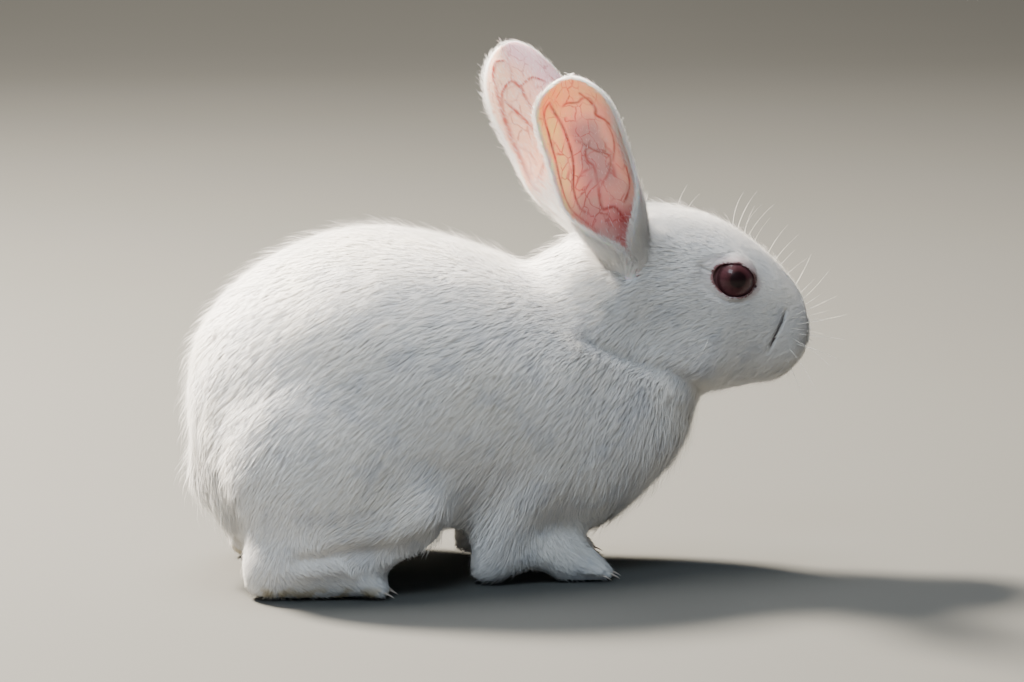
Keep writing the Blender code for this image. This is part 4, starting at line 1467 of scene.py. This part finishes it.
ear_skin = ear_finish()
ears = {side: make_ear(side) for side in SIDES}
for side, ear in ears.items():
    ear.data.materials.append(ear_skin)
    top = round(points_of(ear.data)[:, 2].max() / MM, 1)
    print("ear", side, len(ear.data.polygons), "faces, top", top, "mm")

# %% [markdown]
# ## The coat, piece by piece
#
# A piece of the coat stays under two hundred thousand triangles, so the coat is grown in pieces
# that meet without a gap. Each grows from its own patch of skin. The patch is unwrapped first, and
# each tuft gets its own tiny square of that unwrap, so that a baked coat keeps its markings.

# %% Patches of skin
TUFTS_KEPT = 1.0
# Coat piece: region, whether split into right and left, tufts, size of its locks in mm, how
# strongly they lock, and how far the coat wanders from its chart
COAT_PIECES = {
    "coat_head": ("head", True, 34000, 1.3, 0.35, 0.3),
    "coat_neck": ("neck", True, 20000, 2.0, 0.42, 0.8),
    "coat_back": ("back", False, 26000, 2.2, 0.42, 0.65),
    "coat_flank": ("flank", True, 36000, 2.0, 0.4, 0.95),
    "coat_rump": ("rump", False, 23000, 2.4, 0.45, 0.8),
    "coat_leg": ("leg", True, 19000, 1.8, 0.4, 0.35),
}
EAR_TUFTS = 15500


def unwrapped_patch(name, source, wanted):
    """A copy of the wanted faces of a mesh, laid flat in a UV map."""
    bm = bmesh.new()
    bm.from_mesh(source)
    faces = [face for face, keep in zip(bm.faces, wanted) if not keep]
    bmesh.ops.delete(bm, geom=faces, context="FACES")
    patch = new_object(name, mesh_of(bm, name))
    patch.data.uv_layers.new(name="skin_map")
    bpy.context.view_layer.objects.active = patch
    patch.select_set(True)
    bpy.ops.object.mode_set(mode="EDIT")
    bpy.ops.mesh.select_all(action="SELECT")
    bpy.ops.uv.smart_project(angle_limit=math.radians(66), island_margin=0.006)
    bpy.ops.object.mode_set(mode="OBJECT")
    mesh = patch.data
    bpy.data.objects.remove(patch)
    return mesh


def tufts_expected(mesh):
    number = kept_value(mesh, "number")[first_corners(mesh)]
    return float((read(mesh.polygons, "area", 1).ravel() * number).sum())


body_tufts = sum(row[2] * (2 if row[1] else 1) for row in COAT_PIECES.values())
print("tufts asked for:", body_tufts + 2 * EAR_TUFTS)

# %% Grow a piece
GROWING_ONLY = ("lie", "length", "stand", "width", "number", "patch", "skin_normal", "skin_map",
                "bare", "dark", "lid")


def without_growing_notes(piece):
    for name in GROWING_ONLY:
        if name in piece.data.attributes:
            piece.data.attributes.remove(piece.data.attributes[name])
    return piece


def tufts_of(piece):
    return len(piece.data.polygons) // 3


def grow_piece(name, patch, tufts, seed, lock_size, locking, wander):
    share = TUFTS_KEPT * tufts / tufts_expected(patch)
    numbers = {"Share": share, "Seed": seed}
    numbers |= {"Lock size": lock_size * MM, "Locking": locking, "Wander": wander}
    piece = plain_mesh(grow_coat, patch, name, numbers)
    places = points_of(piece.data)
    places[:, 2] = np.maximum(places[:, 2], 0.15 * MM)
    piece.data.vertices.foreach_set("co", places.astype(np.float32).ravel())
    finished_piece(without_growing_notes(piece), "white_coat")
    area = read(patch.polygons, "area", 1).sum() / MM**2
    print(f"{name}: {tufts_of(piece)} tufts on {area:.0f} square mm")
    return piece


def grow_all():
    pieces = []
    for name, (region, split, tufts, *numbers) in COAT_PIECES.items():
        inside = face_region == REGIONS.index(region)
        halves = {"_right": ~face_on_left, "_left": face_on_left} if split else {"": True}
        for half, on_side in halves.items():
            patch = unwrapped_patch(name + half + "_patch", skin_mesh, inside & on_side)
            pieces.append(grow_piece(name + half, patch, tufts, 10 * len(pieces) + 1, *numbers))
    return pieces


coat = grow_all()

# %% Down and fringes on the ears
def describe_ear_coat(mesh):
    """Fine down behind, a fringe on the margin, a band inside the front margin, and a furry base."""
    names = ("up", "across", "from_margin", "inner_face", "upward", "forward")
    up, across, margin, inner, upward, forward = (kept_value(mesh, name) for name in names)
    outer = inner < 0.5
    base = bump(np.clip(up - 0.22, 0, None), 0.26)
    fringe = bump(margin, 1.7)
    band = np.clip((across - 0.8) / 0.12, 0, 1) * np.clip((0.9 - up) / 0.2, 0, 1)
    away = np.where(across > 0.5, 1, -1)[:, None] * forward
    length = np.where(outer, 1.7 + 4.0 * base, 1.3 + 2.0 * band)
    length = length * (1 - fringe) + 3.1 * fringe
    cover = np.where(outer, 0.12 + 3.4 * base, 0.02 + 1.8 * band)
    cover = cover * (1 - fringe) + 2.2 * fringe
    aside = (0.25 + 0.75 * fringe * (1 - base))[:, None]
    lie = upward + away * aside * np.where(outer, 1, -0.3)[:, None]
    lie = np.where((fringe > 0.5)[:, None], upward * 0.8 + away * 0.6, lie)
    length = length * MM
    width = 0.08 * MM + 0.02 * length
    number = cover / (length * width) * (up > 0.02)
    keep_values(mesh, lie=unit(lie), length=length, stand=0.24 + 0.3 * fringe, width=width, number=number)


for side, ear in ears.items():
    describe_ear_coat(ear.data)
    patch = unwrapped_patch("coat_ear_patch", ear.data, np.ones(len(ear.data.polygons), bool))
    coat.append(grow_piece("coat_ear_" + side, patch, EAR_TUFTS, 91 + SIDES[side], 1.4, 0.35, 0.6))
    finished_piece(without_growing_notes(ear), "ear_skin", "ear_" + side)
finished_piece(skin, "white_coat", *FLESH)
print("coat triangles:", sum(5 * tufts_of(piece) for piece in coat))

# %% [markdown]
# ## Claws and whiskers
#
# A claw is a small curved cone, so each is a bent row of shrinking rings. A line shot back over the
# floor finds the front of its toe, and the claw starts inside the toe and just clears the ground.
# A whisker is a long hair that bends as it thins. Each begins as a row of points, and a second
# small tree turns the rows into thin tubes. Whiskers grow in rows from the pad behind the nose, a
# few stand over each eye, and one sprouts on the cheek.

# %% Claws
CLAW_LENGTH, CLAW_RADIUS, CLAW_STEPS, CLAW_SIDES = 5.6 * MM, 0.6 * MM, 8, 10
CLAW_HIGH, CLAW_DROP, CLAW_ROOT = 3 * MM, 2.2 * MM, 1.9 * MM  # over the floor, and inside the toe
CLAWS_ACROSS = (-0.6, -0.21, 0.21, 0.6)
CLAW_HORN, CLAW_QUICK = (0.66, 0.60, 0.52), (0.60, 0.50, 0.45)


def add_claw(bm, root, way, drop):
    """A curved cone from root along the ground, bending down by drop towards its tip."""
    up, side = Vector((0, 0, 1)), Vector((-way.y, way.x, 0))
    rings = []
    for step in range(CLAW_STEPS):
        t = step / CLAW_STEPS
        middle = root + way * (CLAW_LENGTH * t) - up * (drop * t * t)
        radius = CLAW_RADIUS * (1 - t) ** 0.6
        corners = [2 * math.pi * k / CLAW_SIDES for k in range(CLAW_SIDES)]
        ways = [side * math.cos(w) * 0.8 + up * math.sin(w) for w in corners]
        rings.append([bm.verts.new(middle + corner_way * radius) for corner_way in ways])
    tip = bm.verts.new(root + way * CLAW_LENGTH - up * drop)
    for first, second in zip(rings, rings[1:]):
        for k in range(CLAW_SIDES):
            bm.faces.new((first[k], first[(k + 1) % CLAW_SIDES], second[(k + 1) % CLAW_SIDES], second[k]))
    for k in range(CLAW_SIDES):
        bm.faces.new((rings[-1][k], rings[-1][(k + 1) % CLAW_SIDES], tip))
    bm.faces.new(rings[0][::-1])


def toe_front(skin_tree, foot, out):
    """Where a line from ahead, low over the floor, first meets a foot. Out is -1 to 1 across it."""
    low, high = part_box(foot)
    middle, half = 0.5 * (low.y + high.y), 0.5 * (high.y - low.y)
    for narrower in (1, 0.9, 0.8, 0.7, 0.6):
        start = Vector((high.x + CLAW_LENGTH, middle + half * out * narrower, CLAW_HIGH))
        met = skin_tree.ray_cast(start, Vector((-1, 0, 0)), CLAW_LENGTH + 0.3 * (high.x - low.x))[0]
        if met:
            return met
    return None


def make_claws():
    """All the claws as one piece, each rooted in the front of its toe."""
    faces = [tuple(face.vertices) for face in skin_mesh.polygons]
    skin_tree = BVHTree.FromPolygons(points_of(skin_mesh).tolist(), faces)
    bm = bmesh.new()
    for foot in [name for name in FLESH if "foot" in name]:
        for out in CLAWS_ACROSS:
            front = toe_front(skin_tree, foot, out)
            if front:
                way = Vector((1, 0.1 * out, 0)).normalized()
                add_claw(bm, front - way * CLAW_ROOT, way, CLAW_DROP)
    bmesh.ops.recalc_face_normals(bm, faces=bm.faces)
    claws = new_object("claws", mesh_of(bm, "claws"))
    claws.data.shade_smooth()
    finish, tree, shader = material("pale_claw", Roughness=0.38)
    plug(tree, mixed(noise(tree, 0.002, object_place(tree)), CLAW_HORN, CLAW_QUICK), shader, "Base Color")
    claws.data.materials.append(finish)
    finished_piece(claws, "white_coat")
    return claws


claws = make_claws()
print("claws:", len(claws.data.polygons), "faces")

# %% Whiskers
WHISKER_STEPS, WHISKER_SIDES = 12, 5
WHISKER_WHITE, WHISKER_GREY = (0.93, 0.90, 0.82), (0.84, 0.82, 0.78)
# Root in the head's box (along, out, up), the way it leaves, the way it bends, then its length and
# the radius of its thickest hair in mm
WHISKERS = [
    ((0.93, 0.36, 0.55), (0.62, 0.45, 0.64), (-0.1, 0, 0.15), 19, 0.12),
    ((0.92, 0.4, 0.51), (0.75, 0.5, 0.4), (0, 0.1, 0.1), 17, 0.10),
    ((0.92, 0.42, 0.47), (0.8, 0.55, 0.2), (0, 0.1, 0.1), 20, 0.11),
    ((0.925, 0.42, 0.43), (0.8, 0.6, 0.02), (0, 0.1, -0.05), 19, 0.10),
    ((0.92, 0.42, 0.39), (0.7, 0.68, -0.12), (0, 0.05, -0.12), 20, 0.10),
    ((0.9, 0.45, 0.5), (0.5, 0.84, 0.2), (-0.1, 0.1, 0.1), 22, 0.08),
    ((0.895, 0.47, 0.46), (0.45, 0.88, 0.06), (-0.2, 0.1, 0), 24, 0.08),
    ((0.9, 0.46, 0.42), (0.5, 0.84, -0.2), (-0.15, 0.1, -0.1), 24, 0.08),
    ((0.89, 0.46, 0.38), (0.42, 0.75, -0.5), (-0.1, 0.1, -0.2), 20, 0.07),
    ((0.88, 0.44, 0.34), (0.35, 0.6, -0.7), (-0.1, 0, -0.15), 17, 0.07),
    ((0.9, 0.3, 0.3), (0.45, 0.4, -0.8), (-0.1, 0, -0.1), 13, 0.06),
    ((0.83, 0.28, 0.72), (0.42, 0.3, 0.85), (0.25, 0, -0.1), 15, 0.09),
    ((0.87, 0.3, 0.66), (0.62, 0.3, 0.72), (0.1, 0, -0.1), 12, 0.08),
    ((0.7, 0.42, 0.86), (0.1, 0.45, 0.9), (0.35, 0, -0.15), 15, 0.09),
    ((0.72, 0.42, 0.85), (0.3, 0.4, 0.86), (0.3, 0, -0.1), 16, 0.09),
    ((0.75, 0.4, 0.83), (0.2, 0.5, 0.86), (0.3, 0, 0), 11, 0.08),
    ((0.46, 0.35, 0.96), (0.35, 0.4, 0.85), (0.1, 0, -0.2), 10, 0.07),
    ((0.53, 0.9, 0.44), (-0.2, 0.95, -0.2), (-0.5, 0, -0.3), 14, 0.08),
]


def whisker_rows():
    """Each whisker as a row of points joined by edges, with its radius kept at every point."""
    places, edges, radii = [], [], []
    for root, way, bend, length, radius in WHISKERS:
        for side in SIDES.values():
            mirror = np.array((1, side, 1))
            start = spot("head", *root) * mirror - np.array((1.0, side * 0.8, 0)) * MM
            away, turn = unit(np.array(way, float)) * mirror, np.array(bend, float) * mirror
            first = len(places)
            for step in range(WHISKER_STEPS + 1):
                t = step / WHISKER_STEPS
                places.append(start + (away * t + turn * t * t * 0.7) * length * MM)
                radii.append(0.8 * radius * (1 - 0.85 * t) * MM)
            edges += [(first + k, first + k + 1) for k in range(WHISKER_STEPS)]
    mesh = bpy.data.meshes.new("whisker_rows")
    mesh.from_pydata(places, edges, [])
    keep_values(mesh, thickness=np.array(radii))
    return mesh


def whisker_tree(finish):
    tree, given = new_tree("whiskers_from_rows", {"Sides": "NodeSocketInt"})
    lines = add(tree, "GeometryNodeMeshToCurve", {}, {"Mesh": given["Geometry"]})
    ring = add(tree, "GeometryNodeCurvePrimitiveCircle", {}, {"Resolution": given["Sides"], "Radius": 1.0})
    parts = {"Curve": lines, "Profile Curve": ring, "Scale": named(tree, "thickness"), "Fill Caps": True}
    tubes = add(tree, "GeometryNodeCurveToMesh", {}, parts)
    end_tree(tree, add(tree, "GeometryNodeRealizeInstances", {}, {"Geometry": tubes}), finish)
    return tree


def whisker_finish():
    finish, tree, shader = material("whisker_hair", Roughness=0.35)
    colour = mixed(noise(tree, 0.004, object_place(tree)), WHISKER_WHITE, WHISKER_GREY)
    plug(tree, colour, shader, "Base Color")
    return finish


tubes_tree = whisker_tree(whisker_finish())
whiskers = plain_mesh(tubes_tree, whisker_rows(), "whiskers", {"Sides": WHISKER_SIDES})
whiskers.data.shade_smooth()
finished_piece(whiskers, "white_coat")
print("whiskers:", 2 * len(WHISKERS), "with", len(whiskers.data.polygons), "faces")
